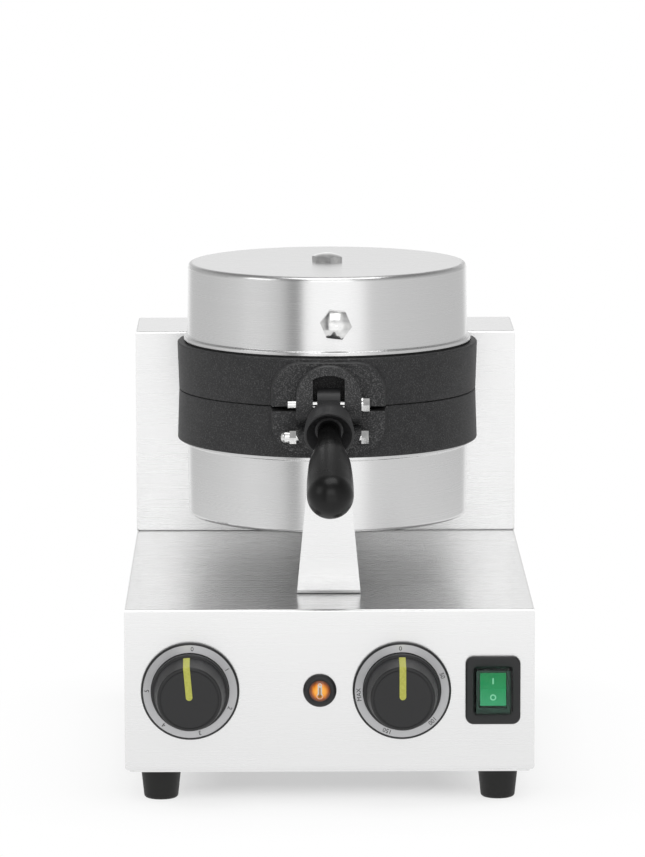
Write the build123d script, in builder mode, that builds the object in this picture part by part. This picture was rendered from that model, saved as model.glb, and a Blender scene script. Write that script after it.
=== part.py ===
from build123d import *
import math
import os

os.makedirs("parts", exist_ok=True)

# Cabinet: a base box and a taller rear tower of folded stainless sheet, on four rubber feet
base_width = 250
base_depth = 370
base_height = 101
tower_depth = 74
tower_height = 133
sheet = 1.2
fold_radius = 1.5
lower_fold_radius = 2.5
bottom_flange = 30
tower_flange = 15
rear_flange = 13
plate_inset = 2.5

foot_height = 20
foot_top_radius = 12.5
foot_bottom_radius = 10.35
foot_inset = 21.5
foot_recess_radius = 6
foot_recess_depth = 12
foot_screw_radius = 2.5

# Press: two cast moulds that meet at the seam, each under a drawn stainless cover
press_to_tower = 152
seam_height = 117
seam_gap = 0.3
ring_radius = 94.4
ring_draft = 1.0
ring_height = {"lower": 31.6, "upper": 29.9}
ring_wall = 9
plate_thickness = 12
mould_radius = 60
mould_floor_radius = 51
mould_depth = 20
mould_floor = 7
bead_height = 2
bead_width = 2
cover_reach = 79.5
cover_sheet = 1.0
lip_radius = 90.3
lip_height = 2.3
lip_gap = {"lower": 0.3, "upper": 1.3}
cover_rim_radius = 88.2
cover_end_radius = 87.6
cover_edge = {"lower": 2.5, "upper": 3}
side_nut_reach = {"lower": 51.7, "upper": 50.5}
side_nut_angle = {"lower": 0, "upper": 3}
element_radius = 4
element_circle = 76
stud_radius = 5
boss_radius = 13
boss_height = 9

# Front latch: clevis ears on a pad of each casting, a cast arm that hooks the lower bolt
pivot_reach = 11.6
pivot_rise = 3.5
latch_drop = 20
pad_width = 69
pad_reach = 5.6
pad_rise = 27.8
pad_corner = 18
pad_relief = 1.5
clevis_width = 40
clevis_slot = 19.5
clevis_rise = 27
bridge_thickness = 5
ear_radius = 10.5
lower_ear_radius = 6.5
latch_bolt_radius = 2.5
pin_clearance = 0.05
arm_width = 14
eye_radius = 10
hook_radius = 27
handle_slope = 20
handle_length = 115
handle_lift = 50
guard_radius = 15.3
guard_distance = 40
neck_radius = 7.1
grip_shoulder_radius = 12.8
grip_radius = 14

# Rear hinge: a fork on the lower casting, a tongue on the upper one, a pin through both
hinge_reach = 17.6
hinge_rise = 4
hinge_eye_radius = 12
hinge_pin_radius = 4
hinge_gap = 0.3
lid_open = 95
fork_depth = 18
fork_web = 7
bracket_plate = 3

# Front support bracket
support_sheet = 2
support_foot_width = 39.3
support_tongue_radius = 13.5
support_foot_length = 30

# Controls on the front panel, all on one line
control_height = 51
timer_x = -0.34 * base_width
pilot_x = -0.024 * base_width
thermostat_x = 0.176 * base_width
switch_x = 0.398 * base_width
timer_rest_turn = 5
rim_radius = 30
rim_thickness = 3.2
rim_floor = 2.3
dial_radius = 28.7
dial_inner_radius = 24
dial_thickness = 0.7
collar_radius = 23.5
collar_height = 6
knob_radius = 22
knob_face_radius = 19.5
knob_depth = 26
knob_gap = 0.5
pointer_width = 4
pointer_groove = 1.0
pointer_proud = 0.3
shaft_radius = 3
shaft_clearance = 0.03
pilot_radius = 10.15
pilot_lens_radius = 6.4
switch_width = 33.5
switch_height = 42
switch_thickness = 3.2
well_width = 17
well_height = 22
rocker_width = 15.8
rocker_height = 20
rocker_tilt = 7

# Lead tube, cable gland and the parts inside the cabinet
lead_tube_radius = 8
lead_tube_wall = 2
lead_tube_offset = 45
lock_nut_flats = 22
lock_nut_height = 4
gland_length = 16
gland_x = -0.32 * base_width
gland_height = 32
gland_bore_radius = 4.5

# Places worked out from the sizes above; the origin is on the floor under the middle of the whole footprint
slope = math.radians(handle_slope)
press_setback = base_depth - tower_depth - press_to_tower
pivot_setback = press_setback - ring_radius - pivot_reach
handle_overhang = handle_length * math.cos(slope) + grip_radius - pivot_setback
rear_overhang = sheet + gland_length
front_y = (handle_overhang - base_depth - rear_overhang) / 2
back_y = front_y + base_depth
tower_front_y = back_y - tower_depth
base_mid_y = (front_y + back_y) / 2
tower_mid_y = (tower_front_y + back_y) / 2
shell_bottom = foot_height + sheet
base_top = foot_height + base_height
tower_top = base_top + tower_height
press_y = front_y + press_setback
seam_z = base_top + seam_height
pivot_y = front_y + pivot_setback
pivot_z = seam_z + pivot_rise
latch_z = pivot_z - latch_drop
hinge_y = press_y + ring_radius + hinge_reach
hinge_z = seam_z + hinge_rise
control_z = foot_height + control_height

away = {"lower": -1, "upper": 1}
press_axis = Axis((0, press_y, 0), (0, 0, 1))


def press_plane(side, y=press_y):
    """An upright plane facing the back, across the press, with y from the seam outwards."""
    return Plane(origin=(0, y, seam_z), x_dir=(-away[side], 0, 0), z_dir=(0, 1, 0))


def seam_plane(side, distance):
    """A level plane at this distance from the seam, facing away from it."""
    return Plane(
        origin=(0, press_y, seam_z + away[side] * distance),
        x_dir=(1, 0, 0),
        z_dir=(0, 0, away[side]),
    )


def side_nut_plane(side, out):
    """A plane facing out from the front of a drum at its side nut, this far from the axis."""
    angle = math.radians(side_nut_angle[side])
    outwards = Vector(math.sin(angle), -math.cos(angle), 0)
    middle = Vector(0, press_y, seam_z + away[side] * side_nut_reach[side])
    return Plane(
        origin=middle + outwards * out,
        x_dir=(math.cos(angle), math.sin(angle), 0),
        z_dir=outwards,
    )


def panel_plane(x, out=0.0, turn=0.0):
    """A plane on the front panel at control height, facing the user, turned to the left."""
    across = (math.cos(math.radians(turn)), 0, math.sin(math.radians(turn)))
    return Plane(origin=(x, front_y - out, control_z), x_dir=across, z_dir=(0, -1, 0))


def turning_plane(x):
    """The level plane through a control's axis, with y towards the user."""
    return Plane(origin=(x, front_y, control_z), x_dir=(1, 0, 0), z_dir=(0, 0, -1))


def front_plane(y):
    """An upright plane facing the user."""
    return Plane(origin=(0, y, 0), x_dir=(1, 0, 0), z_dir=(0, -1, 0))


def side_plane(y, z, x=0.0):
    """An upright plane seen from the right side, with x to the back and y up."""
    return Plane(origin=(x, y, z), x_dir=(0, 1, 0), z_dir=(1, 0, 0))


def finish(piece, name):
    """Name the piece and write it."""
    piece.part.label = name
    export_step(piece.part, f"parts/{name}.step")


# Base shell: front, top and sides in one folded sheet, with return flanges below and behind
tower_cut_margin = 18
tube_y = press_y + lead_tube_offset
case_wall = (2.3, 3.7)
switch_cut = (well_width + 2 * case_wall[0], well_height + 2 * case_wall[1])
control_hole_radius = 5
control_screw_rise = 16
pilot_hole_radius = 6
support_face_y = press_y - cover_rim_radius - 0.2
support_front_y = support_face_y - support_sheet
support_screw_points = [
    (side * support_foot_width / 4, support_front_y + support_foot_length * 0.65) for side in (-1, 1)
]
foot_points = [
    (side * (base_width / 2 - foot_inset), y)
    for side in (-1, 1)
    for y in (front_y + foot_inset + 3, back_y - foot_inset)
]
tower_screw_points = [
    (side * (base_width / 2 - tower_flange / 2 - sheet), y)
    for side in (-1, 1)
    for y in (tower_front_y + tower_flange / 2 + sheet, back_y - rear_flange - 8)
]
panel_screw_points = [
    (side * (base_width / 2 - rear_flange / 2 - sheet / 2), z)
    for side in (-1, 1)
    for z in (shell_bottom + 12, base_top - 20, base_top + 20, tower_top - 12)
]
tower_screw_radius = 2
with BuildPart() as base_shell:
    with BuildSketch(Plane.XY.offset(shell_bottom)):
        with Locations((0, base_mid_y)):
            Rectangle(base_width, base_depth)
    extrude(amount=base_top - shell_bottom)
    fillet(base_shell.edges().group_by(Axis.Z)[-1].sort_by(Axis.Y)[:-1], fold_radius)
    fillet(base_shell.edges().group_by(Axis.Z)[0].sort_by(Axis.Y)[:-1], lower_fold_radius)
    with BuildSketch(Plane.XY.offset(shell_bottom + sheet)):
        with Locations((0, base_mid_y)):
            Rectangle(base_width - 2 * sheet, base_depth - 2 * sheet)
    extrude(amount=base_top - shell_bottom - 2 * sheet, mode=Mode.SUBTRACT)
    with BuildSketch(Plane.XY.offset(shell_bottom)):
        with Locations((0, base_mid_y)):
            Rectangle(base_width - 2 * bottom_flange, base_depth - 2 * bottom_flange)
    extrude(amount=sheet, mode=Mode.SUBTRACT)
    with BuildSketch(front_plane(back_y)):
        with Locations((0, (shell_bottom + base_top) / 2)):
            Rectangle(base_width - 2 * rear_flange, base_top - shell_bottom - 2 * rear_flange)
        with Locations(*panel_screw_points[0:2], *panel_screw_points[4:6]):
            Circle(tower_screw_radius + pin_clearance)
    extrude(amount=sheet, mode=Mode.SUBTRACT)
    with BuildSketch(Plane.XY.offset(base_top - sheet)):
        with Locations((0, tower_mid_y)):
            Rectangle(base_width - 2 * tower_cut_margin, tower_depth - 2 * tower_cut_margin)
        with Locations((0, tube_y)):
            Circle(lead_tube_radius + 0.3)
        with Locations(*support_screw_points):
            Circle(tower_screw_radius + pin_clearance)
        with Locations(*tower_screw_points):
            Circle(tower_screw_radius + pin_clearance)
    extrude(amount=sheet, mode=Mode.SUBTRACT)
    with BuildSketch(Plane.XY.offset(shell_bottom)):
        with Locations(*foot_points):
            Circle(foot_screw_radius + pin_clearance)
    extrude(amount=sheet, mode=Mode.SUBTRACT)
    with BuildSketch(panel_plane(0)):
        with Locations((timer_x, 0), (thermostat_x, 0)):
            Circle(control_hole_radius)
            with Locations((0, control_screw_rise), (0, -control_screw_rise)):
                Circle(tower_screw_radius + pin_clearance)
        with Locations((pilot_x, 0)):
            Circle(pilot_hole_radius + 0.1)
        with Locations((switch_x, 0)):
            Rectangle(switch_cut[0] + 0.2, switch_cut[1] + 0.2)
    extrude(amount=-sheet, mode=Mode.SUBTRACT)
finish(base_shell, "base_shell")

# Bottom plate: flat sheet under the flanges, with rows of air slots
plate_width = base_width - 2 * plate_inset
plate_depth = base_depth - 2 * plate_inset
slot_length = 40
slot_width = 4
bottom_screw_points = [
    (side * (base_width / 2 - bottom_flange / 2), base_mid_y + along * base_depth / 5)
    for side in (-1, 1)
    for along in (-1, 1)
]
with BuildPart() as bottom_plate:
    with BuildSketch(Plane.XY.offset(foot_height)):
        with Locations((0, base_mid_y)):
            RectangleRounded(plate_width, plate_depth, 3)
            with GridLocations(slot_length * 1.3, slot_width * 4, 3, 7):
                SlotOverall(slot_length, slot_width, mode=Mode.SUBTRACT)
        with Locations(*foot_points):
            Circle(foot_screw_radius + pin_clearance, mode=Mode.SUBTRACT)
        with Locations(*bottom_screw_points):
            Circle(tower_screw_radius + pin_clearance, mode=Mode.SUBTRACT)
    extrude(amount=sheet)
finish(bottom_plate, "bottom_plate")

bottom_screw_head = 1.6
with BuildPart() as bottom_screws:
    with BuildSketch(Plane.XY.offset(foot_height)):
        with Locations(*bottom_screw_points):
            Circle(tower_screw_radius * 1.9)
    extrude(amount=-bottom_screw_head, taper=25)
    with BuildSketch(Plane.XY.offset(foot_height)):
        with Locations(*bottom_screw_points):
            Circle(tower_screw_radius)
    extrude(amount=sheet)

# Feet: tapered rubber, each with a deep recess for its screw
foot_taper = math.degrees(math.atan((foot_top_radius - foot_bottom_radius) / foot_height))
with BuildPart() as feet:
    with BuildSketch(Plane.XY):
        with Locations(*foot_points):
            Circle(foot_bottom_radius)
    extrude(amount=foot_height, taper=-foot_taper)
    fillet(feet.edges().group_by(Axis.Z)[0], 2)
    with BuildSketch(Plane.XY):
        with Locations(*foot_points):
            Circle(foot_recess_radius)
    extrude(amount=foot_recess_depth, mode=Mode.SUBTRACT)
    with BuildSketch(Plane.XY.offset(foot_recess_depth)):
        with Locations(*foot_points):
            Circle(foot_screw_radius + pin_clearance)
    extrude(amount=foot_height - foot_recess_depth, mode=Mode.SUBTRACT)
finish(feet, "feet")

foot_nut_height = 4
flange_top = shell_bottom + sheet
with BuildPart() as foot_screws:
    with BuildSketch(Plane.XY.offset(foot_recess_depth)):
        with Locations(*foot_points):
            Circle(foot_recess_radius - 1.2)
    extrude(amount=-3)
    with BuildSketch(Plane.XY.offset(foot_recess_depth)):
        with Locations(*foot_points):
            Circle(foot_screw_radius)
    extrude(amount=flange_top + foot_nut_height + 1 - foot_recess_depth)
finish(foot_screws, "foot_screws")

with BuildPart() as foot_nuts:
    with BuildSketch(Plane.XY.offset(flange_top)):
        with Locations(*foot_points):
            RegularPolygon(foot_screw_radius * 1.6, 6, major_radius=False)
            Circle(foot_screw_radius, mode=Mode.SUBTRACT)
    extrude(amount=foot_nut_height)
finish(foot_nuts, "foot_nuts")

# Tower cover: front, top and sides of the rear housing, with return flanges
bracket_bolt_radius = 3
bracket_flange_width = 66
bracket_flange_height = 40
shelf_top = seam_z - fork_depth
bracket_flange_top = shelf_top + 16
bracket_bolt_points = [
    (side * (bracket_flange_width / 2 - 8), bracket_flange_top - edge)
    for side in (-1, 1)
    for edge in (8, bracket_flange_height - 8)
]
grommet_x = 52
grommet_radius = 7
tower_grommet_z = seam_z - 10
with BuildPart() as tower_cover:
    with BuildSketch(Plane.XY.offset(base_top)):
        with Locations((0, tower_mid_y)):
            Rectangle(base_width, tower_depth)
    extrude(amount=tower_height)
    fillet(tower_cover.edges().group_by(Axis.Z)[-1].sort_by(Axis.Y)[:-1], fold_radius)
    fillet(tower_cover.edges().group_by(Axis.Z)[0].sort_by(Axis.Y)[:-1], fold_radius)
    with BuildSketch(Plane.XY.offset(base_top + sheet)):
        with Locations((0, tower_mid_y)):
            Rectangle(base_width - 2 * sheet, tower_depth - 2 * sheet)
    extrude(amount=tower_height - 2 * sheet, mode=Mode.SUBTRACT)
    with BuildSketch(Plane.XY.offset(base_top)):
        with Locations((0, tower_mid_y)):
            Rectangle(base_width - 2 * tower_flange, tower_depth - 2 * tower_flange)
        with Locations(*tower_screw_points):
            Circle(tower_screw_radius + pin_clearance)
    extrude(amount=sheet, mode=Mode.SUBTRACT)
    with BuildSketch(front_plane(back_y)):
        with Locations((0, (base_top + tower_top) / 2)):
            Rectangle(base_width - 2 * rear_flange, tower_height - 2 * rear_flange)
        with Locations(*panel_screw_points[2:4], *panel_screw_points[6:8]):
            Circle(tower_screw_radius + pin_clearance)
    extrude(amount=sheet, mode=Mode.SUBTRACT)
    with BuildSketch(front_plane(tower_front_y)):
        with Locations(*bracket_bolt_points):
            Circle(bracket_bolt_radius + pin_clearance)
        with Locations((grommet_x, tower_grommet_z)):
            Circle(grommet_radius)
    extrude(amount=-sheet, mode=Mode.SUBTRACT)
finish(tower_cover, "tower_cover")

with BuildPart() as tower_screws:
    with BuildSketch(Plane.XY.offset(base_top + sheet)):
        with Locations(*tower_screw_points):
            Circle(tower_screw_radius * 1.9)
    extrude(amount=2)
    with BuildSketch(Plane.XY.offset(base_top + sheet)):
        with Locations(*tower_screw_points):
            Circle(tower_screw_radius)
    extrude(amount=-4 * sheet)

# Rear panel: one sheet over the back of base and tower, with air slots and the cable gland's hole
panel_inset = 2
panel_bottom = foot_height + 4
panel_top = tower_top - panel_inset
gland_z = foot_height + gland_height
gland_neck_radius = 8
with BuildPart() as rear_panel:
    with BuildSketch(front_plane(back_y + sheet)):
        with Locations((0, (panel_bottom + panel_top) / 2)):
            RectangleRounded(base_width - 2 * panel_inset, panel_top - panel_bottom, 3)
        with Locations((0, base_top + tower_height / 2)):
            with GridLocations(slot_length * 1.6, slot_width * 3, 3, 6):
                SlotOverall(slot_length, slot_width, mode=Mode.SUBTRACT)
        with Locations((gland_x, gland_z)):
            Circle(gland_neck_radius + 2 * pin_clearance, mode=Mode.SUBTRACT)
        with Locations(*panel_screw_points):
            Circle(tower_screw_radius + pin_clearance, mode=Mode.SUBTRACT)
    extrude(amount=sheet)
finish(rear_panel, "rear_panel")

with BuildPart() as panel_screws:
    with BuildSketch(front_plane(back_y + sheet)):
        with Locations(*panel_screw_points):
            Circle(tower_screw_radius * 1.9)
    extrude(amount=-1.8, taper=25)
    with BuildSketch(front_plane(back_y + sheet)):
        with Locations(*panel_screw_points):
            Circle(tower_screw_radius)
    extrude(amount=4 * sheet)

# Cable gland: hexagon flange, domed nut and a threaded neck with a lock nut inside
gland_flats = 22
gland_plane = Plane(origin=(gland_x, back_y + sheet, gland_z), x_dir=(1, 0, 0), z_dir=(0, 1, 0))
gland_hex_height = 5
gland_profile_plane = Plane(origin=gland_plane.origin, x_dir=(1, 0, 0), z_dir=(0, 0, 1))
with BuildPart() as cable_gland:
    with BuildSketch(gland_plane):
        RegularPolygon(gland_flats / 2, 6, major_radius=False)
    extrude(amount=gland_hex_height)
    with BuildSketch(gland_plane):
        Circle(gland_neck_radius)
    extrude(amount=-(3 * sheet + lock_nut_height))
    with BuildSketch(gland_profile_plane):
        with BuildLine():
            Line((0, gland_hex_height), (gland_flats / 2 - 1, gland_hex_height))
            Line((gland_flats / 2 - 1, gland_hex_height), (gland_flats / 2 - 1, gland_length - 5))
            ThreePointArc(
                (gland_flats / 2 - 1, gland_length - 5),
                (gland_flats / 2 - 2.2, gland_length - 1.6),
                (gland_bore_radius + 1.2, gland_length),
            )
            Line((gland_bore_radius + 1.2, gland_length), (0, gland_length))
            Line((0, gland_length), (0, gland_hex_height))
        make_face()
    revolve(axis=Axis(gland_plane.origin, (0, 1, 0)))
    with BuildSketch(gland_plane):
        Circle(gland_bore_radius)
    extrude(amount=2 * gland_length, both=True, mode=Mode.SUBTRACT)
finish(cable_gland, "cable_gland")

with BuildPart() as gland_nut:
    with BuildSketch(gland_plane.offset(-2 * sheet)):
        RegularPolygon(gland_flats / 2, 6, major_radius=False)
        Circle(gland_neck_radius, mode=Mode.SUBTRACT)
    extrude(amount=-lock_nut_height)
finish(gland_nut, "gland_nut")

# Terminal block and earth stud, on the bottom plate near the gland
block_size = (40, 20, 16)
terminal_setback = tower_depth - 8
block_place = (gland_x + 30, back_y - terminal_setback)
with BuildPart() as terminal_block:
    with BuildSketch(Plane.XY.offset(shell_bottom)):
        with Locations(block_place):
            Rectangle(block_size[0], block_size[1])
    extrude(amount=block_size[2])
    fillet(terminal_block.edges().filter_by(Axis.Z), 1.5)
    with BuildSketch(Plane.XY.offset(shell_bottom + block_size[2])):
        with Locations(block_place):
            with GridLocations(block_size[0] / 4, block_size[1] / 2, 4, 2):
                Circle(2)
    extrude(amount=-block_size[2] / 2, mode=Mode.SUBTRACT)
finish(terminal_block, "terminal_block")

earth_place = (gland_x + 75, back_y - terminal_setback)
earth_radius = 2.5
earth_nut_height = 4
earth_nut_gap = 2
with BuildPart() as earth_stud:
    with BuildSketch(Plane.XY.offset(shell_bottom)):
        with Locations(earth_place):
            Circle(earth_radius)
    extrude(amount=block_size[2])
    with BuildSketch(Plane.XY.offset(shell_bottom)):
        with Locations(earth_place):
            RegularPolygon(earth_radius * 1.6, 6, major_radius=False)
    extrude(amount=earth_nut_height)
    with BuildSketch(Plane.XY.offset(shell_bottom + earth_nut_height + earth_nut_gap)):
        with Locations(earth_place):
            RegularPolygon(earth_radius * 1.6, 6, major_radius=False)
    extrude(amount=earth_nut_height)
finish(earth_stud, "earth_stud")

# Control bodies behind the panel: the timer's round movement and the thermostat's square case
inner_panel_y = front_y + sheet
control_plate = 2
plate_size = (46, 44)
movement_radius = 20
case_size = (36, 34)
tab_size = (6.3, 0.8)
tab_length = 7
neck_length = 4
shaft_depth = 14
body_depth = {"timer": 30, "thermostat": 24}
for control, control_x in (("timer", timer_x), ("thermostat", thermostat_x)):
    with BuildPart() as control_body:
        with BuildSketch(panel_plane(control_x, -sheet)):
            RectangleRounded(*plate_size, 5)
        extrude(amount=-control_plate)
        with BuildSketch(panel_plane(control_x, -sheet - control_plate)):
            if control == "timer":
                Circle(movement_radius)
            else:
                RectangleRounded(*case_size, 4)
        extrude(amount=-body_depth[control])
        with BuildSketch(panel_plane(control_x, -sheet)):
            Circle(shaft_radius + pin_clearance)
        extrude(amount=-shaft_depth, mode=Mode.SUBTRACT)
        with BuildSketch(panel_plane(control_x, -sheet)):
            with Locations((0, control_screw_rise), (0, -control_screw_rise)):
                Circle(tower_screw_radius + pin_clearance)
        extrude(amount=-6, mode=Mode.SUBTRACT)
        if control == "thermostat":
            with BuildSketch(panel_plane(control_x, -sheet - control_plate - body_depth[control])):
                Circle(neck_length)
            extrude(amount=-neck_length)
        else:
            with BuildSketch(panel_plane(control_x, -sheet - control_plate - body_depth[control])):
                with GridLocations(2 * tab_size[0], 2 * tab_size[0], 2, 2):
                    Rectangle(*tab_size)
            extrude(amount=-tab_length)
    finish(control_body, f"{control}_body")

with BuildPart() as control_screws:
    for control_x in (timer_x, thermostat_x):
        with BuildSketch(panel_plane(control_x)):
            with Locations((0, control_screw_rise), (0, -control_screw_rise)):
                Circle(tower_screw_radius * 1.9)
        extrude(amount=1.2)
        with BuildSketch(panel_plane(control_x)):
            with Locations((0, control_screw_rise), (0, -control_screw_rise)):
                Circle(tower_screw_radius)
        extrude(amount=-sheet - 5.5)

# Dials and knobs: black rim, steel dial ring, tapered knob with a coloured pointer, flatted shaft
knob_base = rim_floor + knob_gap
knob_end = knob_base + knob_depth
shaft_end = knob_base + 14
shaft_flat = 0.8
knob_edge = 1.4
knob_wall = 3
face_groove_radius = knob_face_radius - 1.9
face_groove_width = 0.8
pointer_past_centre = 0.6


def knob_outline(proud):
    """Half the knob's section, from its axis out, swollen by proud."""
    with BuildLine() as outline:
        FilletPolyline(
            (0, knob_base - proud),
            (collar_radius + proud, knob_base - proud),
            (collar_radius + proud, knob_base + collar_height + proud),
            (knob_radius + proud, knob_base + collar_height + proud),
            (knob_face_radius + proud, knob_end + proud),
            (0, knob_end + proud),
            radius=(0, 1.2, 0.5, knob_edge),
        )
        Line((0, knob_end + proud), (0, knob_base - proud))
    return outline.edges()


for control, control_x, turn in (
    ("timer", timer_x, timer_rest_turn),
    ("thermostat", thermostat_x, 0),
):
    control_axis = Axis((control_x, front_y, control_z), (0, -1, 0))
    with BuildPart() as dial_rim:
        with BuildSketch(turning_plane(control_x)):
            with BuildLine():
                Polyline(
                    (shaft_radius + 4, 1.6),
                    (dial_inner_radius - 3, 1.6),
                    (dial_inner_radius - 3, 0),
                    (rim_radius, 0),
                    (rim_radius, rim_thickness - 0.8),
                    (rim_radius - 0.8, rim_thickness),
                    (dial_radius + pin_clearance, rim_thickness),
                    (dial_radius + pin_clearance, rim_floor),
                    (shaft_radius + 4, rim_floor),
                    close=True,
                )
            make_face()
        revolve(axis=control_axis)
    finish(dial_rim, f"{control}_dial_rim")

    with BuildPart() as dial_ring:
        with BuildSketch(panel_plane(control_x, rim_floor)):
            Circle(dial_radius)
            Circle(dial_inner_radius, mode=Mode.SUBTRACT)
        extrude(amount=dial_thickness)
    finish(dial_ring, f"{control}_dial_ring")

    # the pointer is an inlay that runs up the knob's side and over its face to the middle
    pointer_span = knob_radius + 2 + pointer_past_centre
    with BuildPart() as pointer:
        with BuildSketch(turning_plane(control_x)):
            make_face(knob_outline(pointer_proud))
        revolve(axis=control_axis)
        with BuildSketch(turning_plane(control_x)):
            make_face(knob_outline(-pointer_groove))
        revolve(axis=control_axis, mode=Mode.SUBTRACT)
        with BuildSketch(panel_plane(control_x, knob_base + collar_height + 1.3, turn)):
            with Locations((0, pointer_span / 2 - pointer_past_centre)):
                SlotOverall(pointer_span, pointer_width, rotation=90)
        extrude(amount=knob_depth, mode=Mode.INTERSECT)
    finish(pointer, f"{control}_pointer")

    with BuildPart() as knob:
        with BuildSketch(turning_plane(control_x)):
            make_face(knob_outline(0))
        revolve(axis=control_axis)
        with BuildSketch(panel_plane(control_x, knob_end)):
            Circle(face_groove_radius + face_groove_width / 2)
            Circle(face_groove_radius - face_groove_width / 2, mode=Mode.SUBTRACT)
        extrude(amount=-0.6, mode=Mode.SUBTRACT)
        with BuildSketch(panel_plane(control_x, knob_base)):
            Circle(knob_face_radius - knob_wall)
            Circle(shaft_radius + knob_wall, mode=Mode.SUBTRACT)
        extrude(amount=knob_depth - 2 * knob_wall, mode=Mode.SUBTRACT)
        with BuildSketch(panel_plane(control_x, knob_base)):
            Circle(shaft_radius + shaft_clearance)
            with Locations((0, shaft_radius)):
                Rectangle(2 * shaft_radius, 2 * (shaft_flat - shaft_clearance), mode=Mode.SUBTRACT)
        extrude(amount=shaft_end - knob_base + 1, mode=Mode.SUBTRACT)
        add(pointer.part, mode=Mode.SUBTRACT)
    finish(knob, f"{control}_knob")

    with BuildPart() as shaft:
        with BuildSketch(panel_plane(control_x, shaft_end)):
            Circle(shaft_radius)
            with Locations((0, shaft_radius)):
                Rectangle(2 * shaft_radius, 2 * shaft_flat, mode=Mode.SUBTRACT)
        extrude(amount=-(shaft_end - knob_base))
        with BuildSketch(panel_plane(control_x, knob_base)):
            Circle(shaft_radius)
        extrude(amount=-(knob_base + sheet + shaft_depth - 0.5))
    finish(shaft, f"{control}_shaft")

# Pilot lamp: domed black bezel with a threaded neck, amber lens, lock nut behind the panel
pilot_axis = Axis((pilot_x, front_y, control_z), (0, -1, 0))
pilot_neck = 24
pilot_lip = 1.4
with BuildPart() as pilot_bezel:
    with BuildSketch(turning_plane(pilot_x)):
        with BuildLine():
            Polyline(
                (pilot_lens_radius + pin_clearance, 0.6),
                (pilot_lens_radius + pin_clearance, pilot_lip + 1),
                (pilot_radius - 2.4, pilot_lip + 1.6),
            )
            ThreePointArc(
                (pilot_radius - 2.4, pilot_lip + 1.6),
                (pilot_radius - 0.6, pilot_lip + 0.8),
                (pilot_radius, 0),
            )
            Polyline(
                (pilot_radius, 0),
                (pilot_hole_radius, 0),
                (pilot_hole_radius, -pilot_neck),
                (0, -pilot_neck),
                (0, 0.6),
                (pilot_lens_radius + pin_clearance, 0.6),
            )
        make_face()
    revolve(axis=pilot_axis)
finish(pilot_bezel, "pilot_bezel")

lens_edge = 2.6
lens_top = 4.2
lens_curve = (pilot_lens_radius**2 + (lens_top - lens_edge) ** 2) / (2 * (lens_top - lens_edge))
lens_half_angle = math.degrees(math.asin(pilot_lens_radius / lens_curve))
with BuildPart() as pilot_lens:
    with BuildSketch(turning_plane(pilot_x)):
        with BuildLine():
            Polyline((0, lens_top), (0, 0.6), (pilot_lens_radius, 0.6), (pilot_lens_radius, lens_edge))
            CenterArc((0, lens_top - lens_curve), lens_curve, 90 - lens_half_angle, lens_half_angle)
        make_face()
    revolve(axis=pilot_axis)
finish(pilot_lens, "pilot_lens")

with BuildPart() as pilot_nut:
    with BuildSketch(panel_plane(pilot_x, -sheet)):
        RegularPolygon(8, 6, major_radius=False)
        Circle(pilot_hole_radius, mode=Mode.SUBTRACT)
    extrude(amount=-4)
finish(pilot_nut, "pilot_nut")

# Switch: black frame with a case behind the panel, a rocker on its pivot, a clear boot over it
switch_case_depth = 22
well_depth = 9
pivot_depth = 4.2
pivot_radius = 1.5
pivot_pin_end = 1.2
boot_wall = 0.8
boot_height = 6.5
boot_size = (24, 30)
frame_corner = 5
with BuildPart() as switch_frame:
    with BuildSketch(panel_plane(switch_x)):
        RectangleRounded(switch_width, switch_height, frame_corner)
    extrude(amount=switch_thickness)
    fillet(switch_frame.faces().sort_by(Axis.Y)[0].edges(), 1.4)
    with BuildSketch(panel_plane(switch_x)):
        Rectangle(switch_cut[0], switch_cut[1])
    extrude(amount=-switch_case_depth)
    with BuildSketch(panel_plane(switch_x, switch_thickness)):
        RectangleRounded(boot_size[0], boot_size[1], 2.5)
    extrude(amount=-1.2, mode=Mode.SUBTRACT)
    with BuildSketch(panel_plane(switch_x, switch_thickness)):
        Rectangle(well_width, well_height)
    extrude(amount=-well_depth - switch_thickness, mode=Mode.SUBTRACT)
    with BuildSketch(Plane(origin=(switch_x, front_y + pivot_depth, control_z), z_dir=(1, 0, 0))):
        Circle(pivot_radius + pin_clearance)
    extrude(amount=well_width / 2 + pivot_pin_end + 0.1, both=True, mode=Mode.SUBTRACT)
    with BuildSketch(panel_plane(switch_x, -switch_case_depth)):
        with GridLocations(1.5 * tab_size[0], 2 * tab_size[0], 2, 2):
            Rectangle(*tab_size)
    extrude(amount=-tab_length)
finish(switch_frame, "switch_frame")

# the rocker's two faces meet in a shallow valley; it lies at rest with its upper half pressed
rocker_front = 3.4
valley = rocker_front - rocker_height / 2 * math.tan(math.radians(rocker_tilt))
rocker_plane = Plane(
    origin=(switch_x, front_y + pivot_depth, control_z),
    x_dir=(0, -math.cos(math.radians(rocker_tilt)), math.sin(math.radians(rocker_tilt))),
    z_dir=(-1, 0, 0),
)
half_height = rocker_height / 2
with BuildPart() as rocker:
    with BuildSketch(rocker_plane):
        with BuildLine():
            Polyline(
                (-1, -half_height * 0.7),
                (-1, half_height * 0.7),
                (pivot_depth + rocker_front - 1.5, half_height),
                (pivot_depth + rocker_front, half_height),
                (pivot_depth + valley, 0),
                (pivot_depth + rocker_front, -half_height),
                (pivot_depth + rocker_front - 1.5, -half_height),
                close=True,
            )
        make_face()
    extrude(amount=rocker_width / 2, both=True)
    with BuildSketch(rocker_plane):
        Circle(pivot_radius)
    extrude(amount=well_width / 2 + pivot_pin_end, both=True)
finish(rocker, "rocker")

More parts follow.
